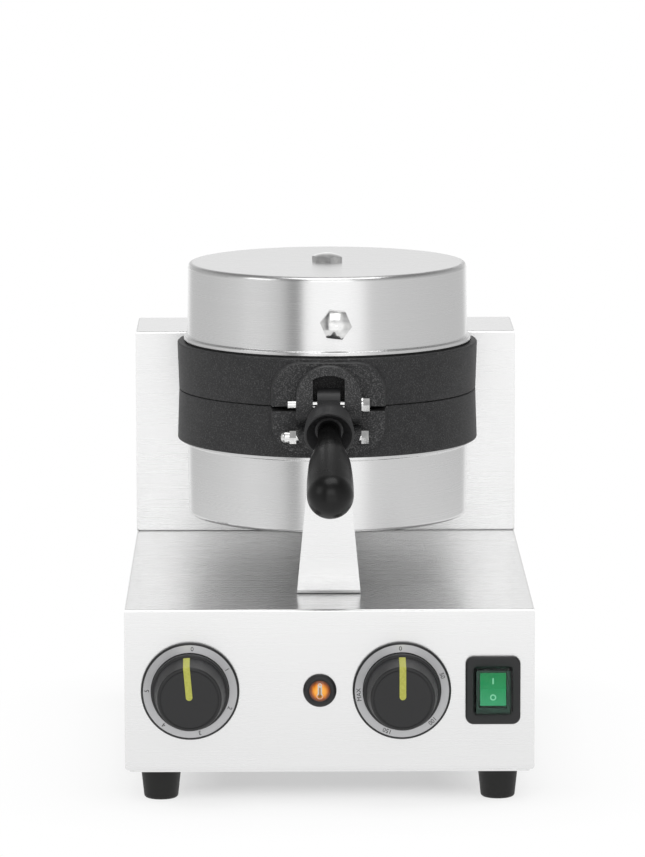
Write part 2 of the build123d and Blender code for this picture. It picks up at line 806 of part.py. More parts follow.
boot_seat = switch_thickness - 1.2
with BuildPart() as switch_boot:
    with BuildSketch(panel_plane(switch_x, boot_seat)):
        RectangleRounded(boot_size[0] - 0.2, boot_size[1] - 0.2, 2.4)
    extrude(amount=boot_height, taper=4)
    fillet(switch_boot.faces().sort_by(Axis.Y)[0].edges(), 1.6)
    with BuildSketch(panel_plane(switch_x, boot_seat)):
        RectangleRounded(boot_size[0] - 2 * boot_wall - 1, boot_size[1] - 2 * boot_wall - 1, 1.6)
    extrude(amount=boot_height - boot_wall, taper=4, mode=Mode.SUBTRACT)
finish(switch_boot, "switch_boot")

# Latch clevises: ears on a flat pad at the front of each casting, the upper ones joined by a bridge
pad_front_y = press_y - ring_radius - pad_reach
pad_depth = 14
pad_draft = 5
slot_back = pivot_y + eye_radius + 0.4
ear_overlap = 7.2
ear_gap = 2.8
bridge_setback = 4
pad_clearance = 0.6
slot_depth = hook_radius - pivot_rise + 1
slot_arch = 2.4
slot_end = {"lower": slot_depth, "upper": clevis_rise - bridge_thickness - slot_arch}
ear_rise = {"upper": -ear_overlap, "lower": ear_overlap + ear_gap}
with BuildPart() as upper_clevis:
    with BuildSketch(press_plane("upper", pivot_y - ear_radius)):
        with Locations((0, (clevis_rise - ear_overlap) / 2)):
            Rectangle(clevis_width, clevis_rise + ear_overlap)
        fillet(vertices().group_by(Axis.Y)[-1], clevis_width / 2 - 1)
    extrude(amount=ear_radius + pad_reach + pad_depth)
    with BuildSketch(side_plane(pivot_y, pivot_z)):
        Circle(ear_radius)
        with Locations((10 - bridge_setback / 2, clevis_rise - pivot_rise - bridge_thickness / 2)):
            Rectangle(20 + bridge_setback, bridge_thickness)
        make_hull()
        with Locations((pad_front_y - pivot_y - pad_clearance, pad_relief - pivot_rise)):
            Rectangle(40, 40, align=(Align.MIN, Align.MAX), mode=Mode.SUBTRACT)
    extrude(amount=clevis_width, both=True, mode=Mode.INTERSECT)

with BuildPart() as lower_clevis:
    with BuildSketch(press_plane("lower", pivot_y - lower_ear_radius)):
        with Locations((0, (clevis_rise + ear_rise["lower"]) / 2)):
            Rectangle(clevis_width, clevis_rise - ear_rise["lower"])
        fillet(vertices().group_by(Axis.Y)[-1], clevis_rise - ear_rise["lower"] - 1)
    extrude(amount=lower_ear_radius + pad_reach + pad_depth)
    with BuildSketch(side_plane(pivot_y, latch_z)):
        Circle(lower_ear_radius)
        with Locations((pad_front_y - pivot_y + 8, seam_z - clevis_rise - latch_z)):
            Rectangle(12, clevis_rise - ear_rise["lower"], align=(Align.CENTER, Align.MIN))
        make_hull()
    extrude(amount=clevis_width, both=True, mode=Mode.INTERSECT)

# Hinge pieces cast with the halves: a fork below with a web that stops the lid, a tongue above
fork_back = hinge_eye_radius + hinge_gap + fork_web + 1.5
fork_front = -hinge_reach - 6
fork_top = hinge_eye_radius + 2
stop_lean = lid_open - 90
screw_reach = 10
fork_screw_radius = 3
fork_screw_points = [(side * clevis_width * 0.36, hinge_y + fork_back - 7) for side in (-1, 1)]
with BuildPart() as hinge_fork:
    with BuildSketch(side_plane(hinge_y, hinge_z)):
        Circle(hinge_eye_radius)
        Polygon(
            (fork_front, -hinge_rise - fork_depth),
            (fork_back, -hinge_rise - fork_depth),
            (fork_back, fork_top),
            (fork_back - fork_web, fork_top),
            (0, hinge_eye_radius),
            (0, -hinge_rise - 1),
            (fork_front, -hinge_rise - 1),
            align=None,
        )
    extrude(amount=clevis_width / 2, both=True)
    fillet(hinge_fork.faces().sort_by(Axis.Y)[-1].edges().filter_by(Axis.Z), 3)
    with BuildSketch(side_plane(hinge_y, hinge_z)):
        Circle(hinge_eye_radius + hinge_gap)
        Rectangle(
            2 * (hinge_eye_radius + hinge_gap),
            2 * hinge_eye_radius,
            rotation=-stop_lean,
            align=(Align.CENTER, Align.MIN),
        )
    extrude(amount=clevis_slot / 2, both=True, mode=Mode.SUBTRACT)
    with BuildSketch(side_plane(hinge_y, hinge_z)):
        Circle(hinge_pin_radius + pin_clearance)
    extrude(amount=clevis_width, both=True, mode=Mode.SUBTRACT)
    with BuildSketch(Plane.XY.offset(shelf_top)):
        with Locations(*fork_screw_points):
            Circle(fork_screw_radius + pin_clearance)
    extrude(amount=screw_reach, mode=Mode.SUBTRACT)

tongue_width = clevis_slot - 2 * hinge_gap
with BuildPart() as hinge_tongue:
    with BuildSketch(side_plane(hinge_y, hinge_z)):
        Circle(hinge_eye_radius)
        with Locations((0, hinge_eye_radius)):
            Rectangle(
                -fork_front,
                hinge_eye_radius + hinge_rise - pad_relief / 2,
                align=(Align.MAX, Align.MAX),
            )
    extrude(amount=tongue_width / 2, both=True)
    with BuildSketch(side_plane(hinge_y, hinge_z)):
        Circle(hinge_pin_radius + pin_clearance)
    extrude(amount=tongue_width, both=True, mode=Mode.SUBTRACT)

# The two castings: ring, plate and mould in one turned section, with a groove for the element
half_gap = seam_gap / 2
floor_back = mould_depth + mould_floor
lip_top = {side: ring_height[side] + lip_gap[side] + lip_height for side in away}
cover_play = 0.4
rib_radius = lip_radius - cover_sheet - cover_play
bead_circle = mould_radius + 3
bulb_radius = 3
bulb_length = 44
bulb_offset = 26
added = {"lower": (lower_clevis, hinge_fork), "upper": (upper_clevis, hinge_tongue)}
bolt_height = {"lower": latch_z, "upper": pivot_z}
for side in ("lower", "upper"):
    rib_top = lip_top[side] - cover_sheet
    with BuildPart() as casting:
        with BuildSketch(press_plane(side)):
            with BuildLine():
                FilletPolyline(
                    (0, mould_depth),
                    (mould_floor_radius, mould_depth),
                    (mould_radius, half_gap),
                    (ring_radius - ring_draft, half_gap),
                    (ring_radius, ring_height[side]),
                    (rib_radius, ring_height[side]),
                    (rib_radius, rib_top),
                    (ring_radius - ring_wall, rib_top),
                    (ring_radius - ring_wall, plate_thickness),
                    (mould_radius + mould_floor, plate_thickness),
                    (mould_floor_radius + mould_floor, floor_back),
                    (boss_radius, floor_back),
                    (boss_radius, floor_back + boss_height),
                    (0, floor_back + boss_height),
                    radius=(7, 1.5, 0.6, 1, 0.4, 0, 0.6, 3, 3, 4, 2, 1),
                )
                Line((0, floor_back + boss_height), (0, mould_depth))
            make_face()
        revolve(axis=press_axis)
        with BuildSketch(press_plane(side, pad_front_y)):
            with Locations((0, (pad_rise + pad_relief) / 2)):
                Rectangle(pad_width, pad_rise - pad_relief)
            fillet(vertices().group_by(Axis.Y)[-1], pad_corner)
        extrude(amount=pad_depth, taper=-pad_draft)
        for piece in added[side]:
            add(piece.part)
        with BuildSketch(press_plane(side, pivot_y - 2 * ear_radius)):
            with BuildLine():
                Polyline(
                    (-clevis_slot / 2, slot_end[side]),
                    (-clevis_slot / 2, -2 * slot_depth),
                    (clevis_slot / 2, -2 * slot_depth),
                    (clevis_slot / 2, slot_end[side]),
                )
                ThreePointArc(
                    (clevis_slot / 2, slot_end[side]),
                    (0, slot_end[side] + slot_arch),
                    (-clevis_slot / 2, slot_end[side]),
                )
            make_face()
        extrude(amount=slot_back - pivot_y + 2 * ear_radius, mode=Mode.SUBTRACT)
        with BuildSketch(side_plane(pivot_y, bolt_height[side])):
            Circle(latch_bolt_radius + pin_clearance)
        extrude(amount=clevis_width, both=True, mode=Mode.SUBTRACT)
        with BuildSketch(seam_plane(side, floor_back + boss_height)):
            Circle(stud_radius + pin_clearance)
        extrude(amount=-boss_height - 2, mode=Mode.SUBTRACT)
        with BuildSketch(press_plane(side)):
            with Locations((element_circle, plate_thickness)):
                Circle(element_radius + pin_clearance)
        revolve(axis=press_axis, mode=Mode.SUBTRACT)
        if side == "lower":
            with BuildSketch(seam_plane(side, half_gap)):
                Circle(bead_circle + bead_width / 2)
                Circle(bead_circle - bead_width / 2, mode=Mode.SUBTRACT)
            extrude(amount=-bead_height, taper=8)
            with BuildSketch(side_plane(press_y + bulb_offset, seam_z - floor_back - 1)):
                Circle(bulb_radius + pin_clearance)
            extrude(amount=mould_floor_radius, both=True, mode=Mode.SUBTRACT)
        else:
            with BuildSketch(seam_plane(side, half_gap)):
                Circle(bead_circle + bead_width / 2 + 0.6)
                Circle(bead_circle - bead_width / 2 - 0.6, mode=Mode.SUBTRACT)
            extrude(amount=bead_height + 0.8, mode=Mode.SUBTRACT)
    finish(casting, f"{side}_casting")

# Drawn covers, each with a stepped lip that rests on the rib of its casting and hangs round it
sheet_end = cover_reach - cover_sheet
nut_flats = 17
tube_clearance = 0.3
grommet_reach = 55
lid_grommet_radius = 6.5
for side in ("lower", "upper"):
    with BuildPart() as cover:
        with BuildSketch(press_plane(side)):
            with BuildLine():
                FilletPolyline(
                    (0, cover_reach),
                    (cover_end_radius, cover_reach),
                    (cover_rim_radius, lip_top[side]),
                    (lip_radius, lip_top[side]),
                    (lip_radius, lip_top[side] - lip_height),
                    (lip_radius - cover_sheet, lip_top[side] - lip_height),
                    (lip_radius - cover_sheet, lip_top[side] - cover_sheet),
                    (cover_rim_radius - cover_sheet, lip_top[side] - cover_sheet),
                    (cover_end_radius - cover_sheet, sheet_end),
                    (0, sheet_end),
                    radius=(cover_edge[side], 0.6, 0.8, 0, 0, 0, 1, cover_edge[side] - cover_sheet),
                )
                Line((0, sheet_end), (0, cover_reach))
            make_face()
        revolve(axis=press_axis)
        with BuildSketch(seam_plane(side, cover_reach)):
            Circle(stud_radius + pin_clearance)
            if side == "lower":
                with Locations((0, -lead_tube_offset)):
                    Circle(lead_tube_radius + tube_clearance)
        extrude(amount=-2 * cover_sheet, mode=Mode.SUBTRACT)
        with BuildSketch(side_nut_plane(side, cover_rim_radius + 1)):
            Circle(stud_radius + pin_clearance)
        extrude(amount=-2 * cover_sheet - 2, mode=Mode.SUBTRACT)
        if side == "upper":
            with BuildSketch(press_plane(side, press_y + cover_rim_radius + 1)):
                with Locations((0, grommet_reach)):
                    Circle(lid_grommet_radius)
            extrude(amount=-2 * cover_sheet - 2, mode=Mode.SUBTRACT)
    finish(cover, f"{side}_cover")

# Insulation discs on the floor of each cover, and heating elements half sunk in the castings
insulation_radius = 80
insulation_front = 42
element_arc = 300
element_tail = 40
element_gap_x = math.sin(math.radians(180 - element_arc / 2))
element_gap_y = math.cos(math.radians(180 - element_arc / 2))
tube_nut_room = 13.5
for side in ("lower", "upper"):
    with BuildPart() as insulation:
        with BuildSketch(seam_plane(side, insulation_front)):
            Circle(insulation_radius)
            Circle(stud_radius + 0.5, mode=Mode.SUBTRACT)
            if side == "lower":
                with Locations((0, -lead_tube_offset)):
                    Circle(tube_nut_room, mode=Mode.SUBTRACT)
        extrude(amount=sheet_end - insulation_front)
    finish(insulation, f"{side}_insulation")

    start_plane = Plane(
        origin=(0, press_y, seam_z + away[side] * plate_thickness),
        x_dir=(-element_gap_x, element_gap_y, 0),
        z_dir=(-element_gap_y, -element_gap_x, 0),
    )
    with BuildPart() as element:
        with BuildSketch(start_plane):
            with Locations((element_circle, 0)):
                Circle(element_radius)
        revolve(axis=press_axis, revolution_arc=element_arc)
        with BuildSketch(seam_plane(side, plate_thickness)):
            with Locations(
                (-element_circle * element_gap_x, away[side] * element_circle * element_gap_y),
                (element_circle * element_gap_x, away[side] * element_circle * element_gap_y),
            ):
                Circle(element_radius)
        extrude(amount=element_tail - plate_thickness)
    finish(element, f"{side}_element")

# Studs that pull the covers on, side screws, and the low-domed cap nuts outside
nut_grip = 4
stud_end = cover_reach + nut_grip
nut_height = 5.6
nut_dome_radius = 20
nut_dome_arc = 35
nut_waste_x = nut_dome_radius * math.sin(math.radians(nut_dome_arc))
nut_waste_y = nut_dome_radius * (1 - math.cos(math.radians(nut_dome_arc)))
side_nut_seat = {"lower": press_y - support_front_y, "upper": cover_rim_radius - 0.1}
side_head_reach = 86.3
side_head_height = 4
side_nut_turn = {"lower": 0, "upper": -7}
top_nut_turn = 43
for side in ("lower", "upper"):
    with BuildPart() as stud:
        with BuildSketch(seam_plane(side, floor_back + 1)):
            Circle(stud_radius)
        extrude(amount=stud_end - floor_back - 1)
    finish(stud, f"{side}_stud")

    with BuildPart() as side_screw:
        with BuildSketch(side_nut_plane(side, side_head_reach - side_head_height)):
            RegularPolygon(nut_flats / 2, 6, major_radius=False)
        extrude(amount=side_head_height)
        with BuildSketch(side_nut_plane(side, side_head_reach)):
            Circle(stud_radius)
        extrude(amount=side_nut_seat[side] + nut_grip - side_head_reach)
    finish(side_screw, f"{side}_side_screw")

    nut_seats = (
        (seam_plane(side, cover_reach), top_nut_turn),
        (side_nut_plane(side, side_nut_seat[side]), side_nut_turn[side]),
    )
    with BuildPart() as cap_nuts:
        for seat, turn in nut_seats:
            with BuildSketch(seat):
                RegularPolygon(nut_flats / 2, 6, major_radius=False, rotation=turn)
            extrude(amount=nut_height)
            with BuildSketch(Plane(origin=seat.origin, x_dir=seat.x_dir, z_dir=seat.y_dir)):
                with BuildLine():
                    CenterArc((0, nut_dome_radius - nut_height), nut_dome_radius, -90, nut_dome_arc)
                    Polyline(
                        (nut_waste_x, nut_waste_y - nut_height),
                        (nut_waste_x, -nut_height - 1),
                        (0, -nut_height - 1),
                        (0, -nut_height),
                    )
                make_face()
            revolve(axis=Axis(seat.origin, seat.z_dir), mode=Mode.SUBTRACT)
            with BuildSketch(seat):
                Circle(stud_radius)
            extrude(amount=nut_grip, mode=Mode.SUBTRACT)
    finish(cap_nuts, f"{side}_cap_nuts")

# Support bracket: a tapered plate up to the lower side nut, its foot folded back under the drum
with BuildPart() as support_bracket:
    with BuildSketch(front_plane(support_face_y)):
        with Locations((0, seam_z - side_nut_reach["lower"])):
            Circle(support_tongue_radius)
        with Locations((0, base_top)):
            Rectangle(support_foot_width, 1, align=(Align.CENTER, Align.MIN))
        make_hull()
    extrude(amount=support_sheet)
    with BuildSketch(Plane.XY.offset(base_top)):
        with Locations((0, support_front_y)):
            Rectangle(support_foot_width, support_foot_length, align=(Align.CENTER, Align.MIN))
    extrude(amount=support_sheet)
    front_edge = support_bracket.edges().filter_by(Axis.X).group_by(Axis.Z)[0].sort_by(Axis.Y)[0]
    fillet(front_edge, 1.5 * support_sheet)
    with BuildSketch(front_plane(support_front_y)):
        with Locations((0, seam_z - side_nut_reach["lower"])):
            Circle(stud_radius + pin_clearance)
    extrude(amount=-support_sheet, mode=Mode.SUBTRACT)
    with BuildSketch(Plane.XY.offset(base_top)):
        with Locations(*support_screw_points):
            Circle(tower_screw_radius + pin_clearance)
    extrude(amount=support_sheet, mode=Mode.SUBTRACT)
finish(support_bracket, "support_bracket")

with BuildPart() as support_screws:
    with BuildSketch(Plane.XY.offset(base_top + support_sheet)):
        with Locations(*support_screw_points):
            Circle(tower_screw_radius * 1.9)
    extrude(amount=2)
    with BuildSketch(Plane.XY.offset(base_top + support_sheet)):
        with Locations(*support_screw_points):
            Circle(tower_screw_radius)
    extrude(amount=-support_sheet - 4 * sheet)

with BuildPart() as housing_screws:
    for group in (bottom_screws, tower_screws, panel_screws, control_screws, support_screws):
        add(group.part)
finish(housing_screws, "housing_screws")

# Lead tube from the base into the lower drum, clamped by lock nuts on both sheets
tube_tail = 13
tube_head = 19.5
tube_bottom = base_top - tube_tail
tube_top = seam_z - cover_reach + tube_head
drum_floor = seam_z - cover_reach
with BuildPart() as lead_tube:
    with BuildSketch(Plane.XY.offset(tube_bottom)):
        with Locations((0, tube_y)):
            Circle(lead_tube_radius)
            Circle(lead_tube_radius - lead_tube_wall, mode=Mode.SUBTRACT)
    extrude(amount=tube_top - tube_bottom)
finish(lead_tube, "lead_tube")

with BuildPart() as lead_tube_nuts:
    for nut_bottom in (
        base_top - sheet - lock_nut_height,
        base_top,
        drum_floor - lock_nut_height,
        drum_floor + cover_sheet,
    ):
        with BuildSketch(Plane.XY.offset(nut_bottom)):
            with Locations((0, tube_y)):
                RegularPolygon(lock_nut_flats / 2, 6, major_radius=False)
                Circle(lead_tube_radius, mode=Mode.SUBTRACT)
        extrude(amount=lock_nut_height)
finish(lead_tube_nuts, "lead_tube_nuts")

# Sensor bulb under the lower mould, its fine tube led down through the lead tube to the thermostat
bulb_z = seam_z - floor_back - 1
bulb_y = press_y + bulb_offset
capillary_radius = 0.8
capillary_bend = 8
thermostat_back = inner_panel_y + control_plate + body_depth["thermostat"] + neck_length
with BuildPart() as sensor_bulb:
    with BuildSketch(side_plane(bulb_y, bulb_z)):
        Circle(bulb_radius)
    extrude(amount=bulb_length / 2, both=True)
    with BuildLine() as capillary:
        FilletPolyline(
            (bulb_length / 2, bulb_y, bulb_z),
            (bulb_length / 2 + 12, bulb_y, bulb_z),
            (bulb_length / 2 + 12, tube_y, bulb_z - 4),
            (0, tube_y, bulb_z - 6),
            (0, tube_y, tube_bottom - 14),
            (thermostat_x, tube_y, tube_bottom - 16),
            (thermostat_x, thermostat_back + 24, control_z),
            (thermostat_x, thermostat_back, control_z),
            radius=capillary_bend,
        )
    with BuildSketch(side_plane(bulb_y, bulb_z, bulb_length / 2)):
        Circle(capillary_radius)
    sweep(path=capillary.wire())
finish(sensor_bulb, "sensor_bulb")

# Rear bracket: a flange bolted to the tower's front, with a gusseted shelf under the hinge fork
shelf_front_y = hinge_y - 14
shelf_width = clevis_width
bracket_front_y = tower_front_y - bracket_plate
gusset_height = 20
gusset_reach = 36
with BuildPart() as rear_bracket:
    with BuildSketch(front_plane(tower_front_y)):
        with Locations((0, bracket_flange_top - bracket_flange_height / 2)):
            RectangleRounded(bracket_flange_width, bracket_flange_height, 5)
        with Locations(*bracket_bolt_points):
            Circle(bracket_bolt_radius + pin_clearance, mode=Mode.SUBTRACT)
    extrude(amount=bracket_plate)
    with BuildSketch(Plane.XY.offset(shelf_top)):
        with Locations((0, shelf_front_y)):
            Rectangle(shelf_width, bracket_front_y - shelf_front_y, align=(Align.CENTER, Align.MIN))
        with Locations(*fork_screw_points):
            Circle(fork_screw_radius + pin_clearance, mode=Mode.SUBTRACT)
    extrude(amount=-bracket_plate)
    with BuildSketch(side_plane(bracket_front_y, shelf_top - bracket_plate)):
        Polygon(
            (0, 0),
            (0, -gusset_height),
            (-0.2 * gusset_height, -gusset_height),
            (-gusset_reach, -2),
            (-gusset_reach, 0),
            align=None,
        )
    extrude(amount=bracket_plate / 2, both=True)
finish(rear_bracket, "rear_bracket")

bolt_flats = 10
bolt_head_height = 4
bolt_tail = 6
under_shelf = Plane(origin=(0, 0, shelf_top - bracket_plate), x_dir=(1, 0, 0), z_dir=(0, 0, -1))
with BuildPart() as bracket_bolts:
    for seat, grip, points in (
        (front_plane(bracket_front_y), bracket_plate + sheet + bolt_tail, bracket_bolt_points),
        (under_shelf, bracket_plate + screw_reach - 1, [(x, -y) for x, y in fork_screw_points]),
    ):
        with BuildSketch(seat):
            with Locations(*points):
                RegularPolygon(bolt_flats / 2, 6, major_radius=False)
        extrude(amount=bolt_head_height)
        with BuildSketch(seat):
            with Locations(*points):
                Circle(bracket_bolt_radius)
        extrude(amount=-grip)
finish(bracket_bolts, "bracket_bolts")

# Hinge pin with a head on the right and a spring clip on the left
pin_head_radius = 6.5
pin_head_height = 3
clip_gap = 0.4
clip_thickness = 1.2
clip_groove_radius = 3.2
pin_left = -clevis_width / 2 - clip_gap - clip_thickness - 2
clip_plane = side_plane(hinge_y, hinge_z, -clevis_width / 2 - clip_gap)
with BuildPart() as hinge_pin:
    with BuildSketch(side_plane(hinge_y, hinge_z, pin_left)):
        Circle(hinge_pin_radius)
    extrude(amount=clevis_width / 2 - pin_left)
    with BuildSketch(side_plane(hinge_y, hinge_z, clevis_width / 2)):
        Circle(pin_head_radius)
    extrude(amount=pin_head_height)
    with BuildSketch(clip_plane):
        Circle(hinge_pin_radius + 1)
        Circle(clip_groove_radius, mode=Mode.SUBTRACT)
    extrude(amount=-clip_thickness, mode=Mode.SUBTRACT)
    chamfer(hinge_pin.faces().sort_by(Axis.X)[0].edges(), 0.6)
finish(hinge_pin, "hinge_pin")

with BuildPart() as hinge_clip:
    with BuildSketch(clip_plane):
        Circle(pin_head_radius)
        Circle(clip_groove_radius, mode=Mode.SUBTRACT)
        Rectangle(
            1.6 * clip_groove_radius,
            2 * pin_head_radius,
            align=(Align.CENTER, Align.MIN),
            mode=Mode.SUBTRACT,
        )
    extrude(amount=-clip_thickness)
finish(hinge_clip, "hinge_clip")

# Rubber grommets for the lid's leads, one in the tower and one in the back of the lid
grommet_wall = 2.5
grommet_flange = 1.8
lid_grommet_seat = press_y + cover_rim_radius - 0.15
grommet_seats = (
    ("tower_grommet", (grommet_x, tower_front_y, tower_grommet_z), -1, grommet_radius, sheet),
    ("lid_grommet", (0, lid_grommet_seat, seam_z + grommet_reach), 1, lid_grommet_radius, 1.8 * cover_sheet),
)
for name, place, facing, radius, neck in grommet_seats:
    with BuildPart() as grommet:
        with BuildSketch(Plane(origin=place, x_dir=(facing, 0, 0), z_dir=(0, 0, 1))):
            with BuildLine():
                Polyline(
                    (radius - grommet_wall, grommet_flange),
                    (radius + grommet_wall - 0.6, grommet_flange),
                    (radius + grommet_wall, 0),
                    (radius, 0),
                    (radius, -neck),
                    (radius + grommet_wall, -neck),
                    (radius + grommet_wall, -neck - 1.5),
                    (radius - grommet_wall, -neck - 1.5),
                    close=True,
                )
            make_face()
        revolve(axis=Axis(place, (0, 1, 0)))
    finish(grommet, name)

# Handle arm: eye on the pivot bolt, hook under the latch bolt, finger guard and a tang for the grip
handle_dir = (0, -math.cos(slope), -math.sin(slope))
handle_plane = Plane(origin=(0, pivot_y, pivot_z), x_dir=handle_dir, z_dir=(1, 0, 0))
handle_axis = Axis((0, pivot_y, pivot_z), handle_dir)
hook_start = 222
hook_end = 283
notch_start = -60
notch_play = 0.3
notch_inner = latch_drop - latch_bolt_radius - notch_play
notch_outer = latch_drop + latch_bolt_radius + notch_play
guard_length = 34
guard_start = 12
guard_recess = 6
guard_wall = 1.5
tang_radius = 4
tang_end = 75


def swing(radius, angle):
    """A point at this distance and angle from the handle's pivot."""
    return (radius * math.cos(math.radians(angle)), radius * math.sin(math.radians(angle)))


def guard_outline(distance):
    """Radius of the finger guard at this distance along the handle."""
    return guard_radius * math.sqrt(1 - ((guard_distance - distance) / guard_length) ** 2)


with BuildPart() as handle_arm:
    with BuildSketch(side_plane(pivot_y, pivot_z)):
        Circle(eye_radius)
        with BuildLine():
            CenterArc((0, 0), hook_radius, hook_start, hook_end - hook_start)
            Line((0, 0), swing(hook_radius, hook_end))
            Line((0, 0), swing(hook_radius, hook_start))
        make_face()
        with BuildLine():
            CenterArc((0, 0), notch_outer, -90, 90 + notch_start)
            CenterArc((0, 0), notch_inner, -90, 90 + notch_start)
            Line((0, -notch_outer), (0, -notch_inner))
            Line(swing(notch_outer, notch_start), swing(notch_inner, notch_start))
        make_face(mode=Mode.SUBTRACT)
        with Locations((0, -latch_drop)):
            Circle(latch_bolt_radius + notch_play, mode=Mode.SUBTRACT)
    extrude(amount=arm_width / 2, both=True)
    with BuildSketch(handle_plane):
        Rectangle(guard_start + 2, arm_width, align=(Align.MIN, Align.CENTER))
    extrude(amount=arm_width / 2, both=True)
    with BuildSketch(handle_plane):
        with BuildLine():
            Spline(
                (guard_start, guard_outline(guard_start)),
                (guard_start + 5, guard_outline(guard_start + 5)),
                (guard_start + 13, guard_outline(guard_start + 13)),
                (guard_distance - 0.5, guard_outline(guard_distance - 0.5)),
            )
            Polyline(
                (guard_distance - 0.5, guard_outline(guard_distance - 0.5)),
                (guard_distance, guard_radius - 0.6),
                (guard_distance, guard_radius - guard_wall),
                (guard_distance - guard_recess, neck_radius + guard_wall),
                (guard_distance - guard_recess, tang_radius),
                (tang_end, tang_radius),
                (tang_end, 0),
                (guard_start, 0),
                (guard_start, guard_outline(guard_start)),
            )
        make_face()
    revolve(axis=handle_axis)
    with BuildSketch(side_plane(pivot_y, pivot_z)):
        Circle(latch_bolt_radius + pin_clearance)
    extrude(amount=arm_width, both=True, mode=Mode.SUBTRACT)
finish(handle_arm, "handle_arm")

# Handle grip: slim neck out of the guard, swelling to a barrel with a domed end
grip_start = guard_distance - guard_recess
neck_end = 47
shoulder = 80
grip_full = 110
shoulder_slope = 0.08
with BuildPart() as handle_grip:
    with BuildSketch(handle_plane):
        with BuildLine():
            Line((grip_start, neck_radius), (neck_end, neck_radius))
            Spline(
                (neck_end, neck_radius),
                (shoulder, grip_shoulder_radius),
                tangents=((1, 0.05), (1, shoulder_slope)),
            )
            Spline(
                (shoulder, grip_shoulder_radius),
                (grip_full, grip_radius),
                tangents=((1, shoulder_slope), (1, 0)),
            )
            Line((grip_full, grip_radius), (handle_length, grip_radius))
            CenterArc((handle_length, 0), grip_radius, 0, 90)
            Polyline((handle_length + grip_radius, 0), (grip_start, 0), (grip_start, neck_radius))
        make_face()
    revolve(axis=handle_axis)
    with BuildSketch(Plane(origin=handle_plane.origin, x_dir=(1, 0, 0), z_dir=handle_dir)):
        Circle(tang_radius + shaft_clearance)
    extrude(amount=tang_end + 1, mode=Mode.SUBTRACT)
finish(handle_grip, "handle_grip")

# Bolts of the latch: the handle's pivot in the lid's ears, the hook's bolt in the lower ears
latch_flats = 8
pivot_head_end = 25
pivot_washer = 1
latch_head_end = 24.4
with BuildPart() as pivot_bolt:
    with BuildSketch(side_plane(pivot_y, pivot_z, -pivot_head_end)):
        Circle(latch_bolt_radius)
    extrude(amount=pivot_head_end + clevis_width / 2)
    with BuildSketch(side_plane(pivot_y, pivot_z, clevis_width / 2)):
        Circle(latch_flats / 2 + 1)
    extrude(amount=pivot_washer)
    with BuildSketch(side_plane(pivot_y, pivot_z, clevis_width / 2 + pivot_washer)):
        RegularPolygon(latch_flats / 2, 6, major_radius=False)
    extrude(amount=pivot_head_end - clevis_width / 2 - pivot_washer)
finish(pivot_bolt, "pivot_bolt")

latch_nut_end = 29.5
latch_nut_hex = 4
latch_thread_end = 27
with BuildPart() as latch_bolt:
    with BuildSketch(side_plane(pivot_y, latch_z, -latch_thread_end)):
        Circle(latch_bolt_radius)
    extrude(amount=latch_thread_end + clevis_width / 2)
    with BuildSketch(side_plane(pivot_y, latch_z, clevis_width / 2)):
        RegularPolygon(latch_flats / 2, 6, major_radius=False)
    extrude(amount=latch_head_end - clevis_width / 2)
finish(latch_bolt, "latch_bolt")

with BuildPart() as latch_nut:
    with BuildSketch(side_plane(pivot_y, latch_z, -clevis_width / 2)):
        RegularPolygon(latch_flats / 2, 6, major_radius=False)
    extrude(amount=-latch_nut_hex)
    with BuildSketch(side_plane(pivot_y, latch_z, -clevis_width / 2 - latch_nut_hex)):
        Circle(latch_flats / 2 - 0.4)
    extrude(amount=-(latch_nut_end - clevis_width / 2 - latch_nut_hex))
    fillet(latch_nut.faces().sort_by(Axis.X)[0].edges(), 3)
    with BuildSketch(side_plane(pivot_y, latch_z, -clevis_width / 2)):
        Circle(latch_bolt_radius)
    extrude(amount=-(latch_thread_end - clevis_width / 2), mode=Mode.SUBTRACT)
finish(latch_nut, "latch_nut")
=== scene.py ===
import math

import bmesh
import bpy
from mathutils import Matrix, Vector


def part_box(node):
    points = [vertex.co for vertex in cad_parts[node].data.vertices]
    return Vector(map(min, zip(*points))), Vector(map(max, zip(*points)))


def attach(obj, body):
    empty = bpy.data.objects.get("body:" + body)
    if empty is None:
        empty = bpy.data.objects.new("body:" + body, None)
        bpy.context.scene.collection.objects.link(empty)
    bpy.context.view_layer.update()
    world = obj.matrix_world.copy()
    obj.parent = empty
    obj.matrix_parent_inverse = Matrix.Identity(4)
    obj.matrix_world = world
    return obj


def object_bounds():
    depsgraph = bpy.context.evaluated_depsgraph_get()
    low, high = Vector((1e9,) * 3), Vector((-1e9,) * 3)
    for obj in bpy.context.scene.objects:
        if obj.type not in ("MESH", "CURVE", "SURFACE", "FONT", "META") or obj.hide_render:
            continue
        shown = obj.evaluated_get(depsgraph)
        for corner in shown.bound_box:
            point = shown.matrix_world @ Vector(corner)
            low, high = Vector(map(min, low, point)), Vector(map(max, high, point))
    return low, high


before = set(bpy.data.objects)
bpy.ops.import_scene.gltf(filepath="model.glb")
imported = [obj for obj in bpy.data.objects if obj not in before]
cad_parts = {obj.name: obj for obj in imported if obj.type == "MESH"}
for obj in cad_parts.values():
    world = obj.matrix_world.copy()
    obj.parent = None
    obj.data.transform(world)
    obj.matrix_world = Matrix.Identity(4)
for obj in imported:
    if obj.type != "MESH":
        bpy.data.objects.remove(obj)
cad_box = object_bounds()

# Housing: the base, tower, bottom plate and rear panel, folded from thin stainless sheet and
# screwed together, and the two brackets of thicker sheet. The fine straight grain lies level on
# the upright faces and runs across the tops.


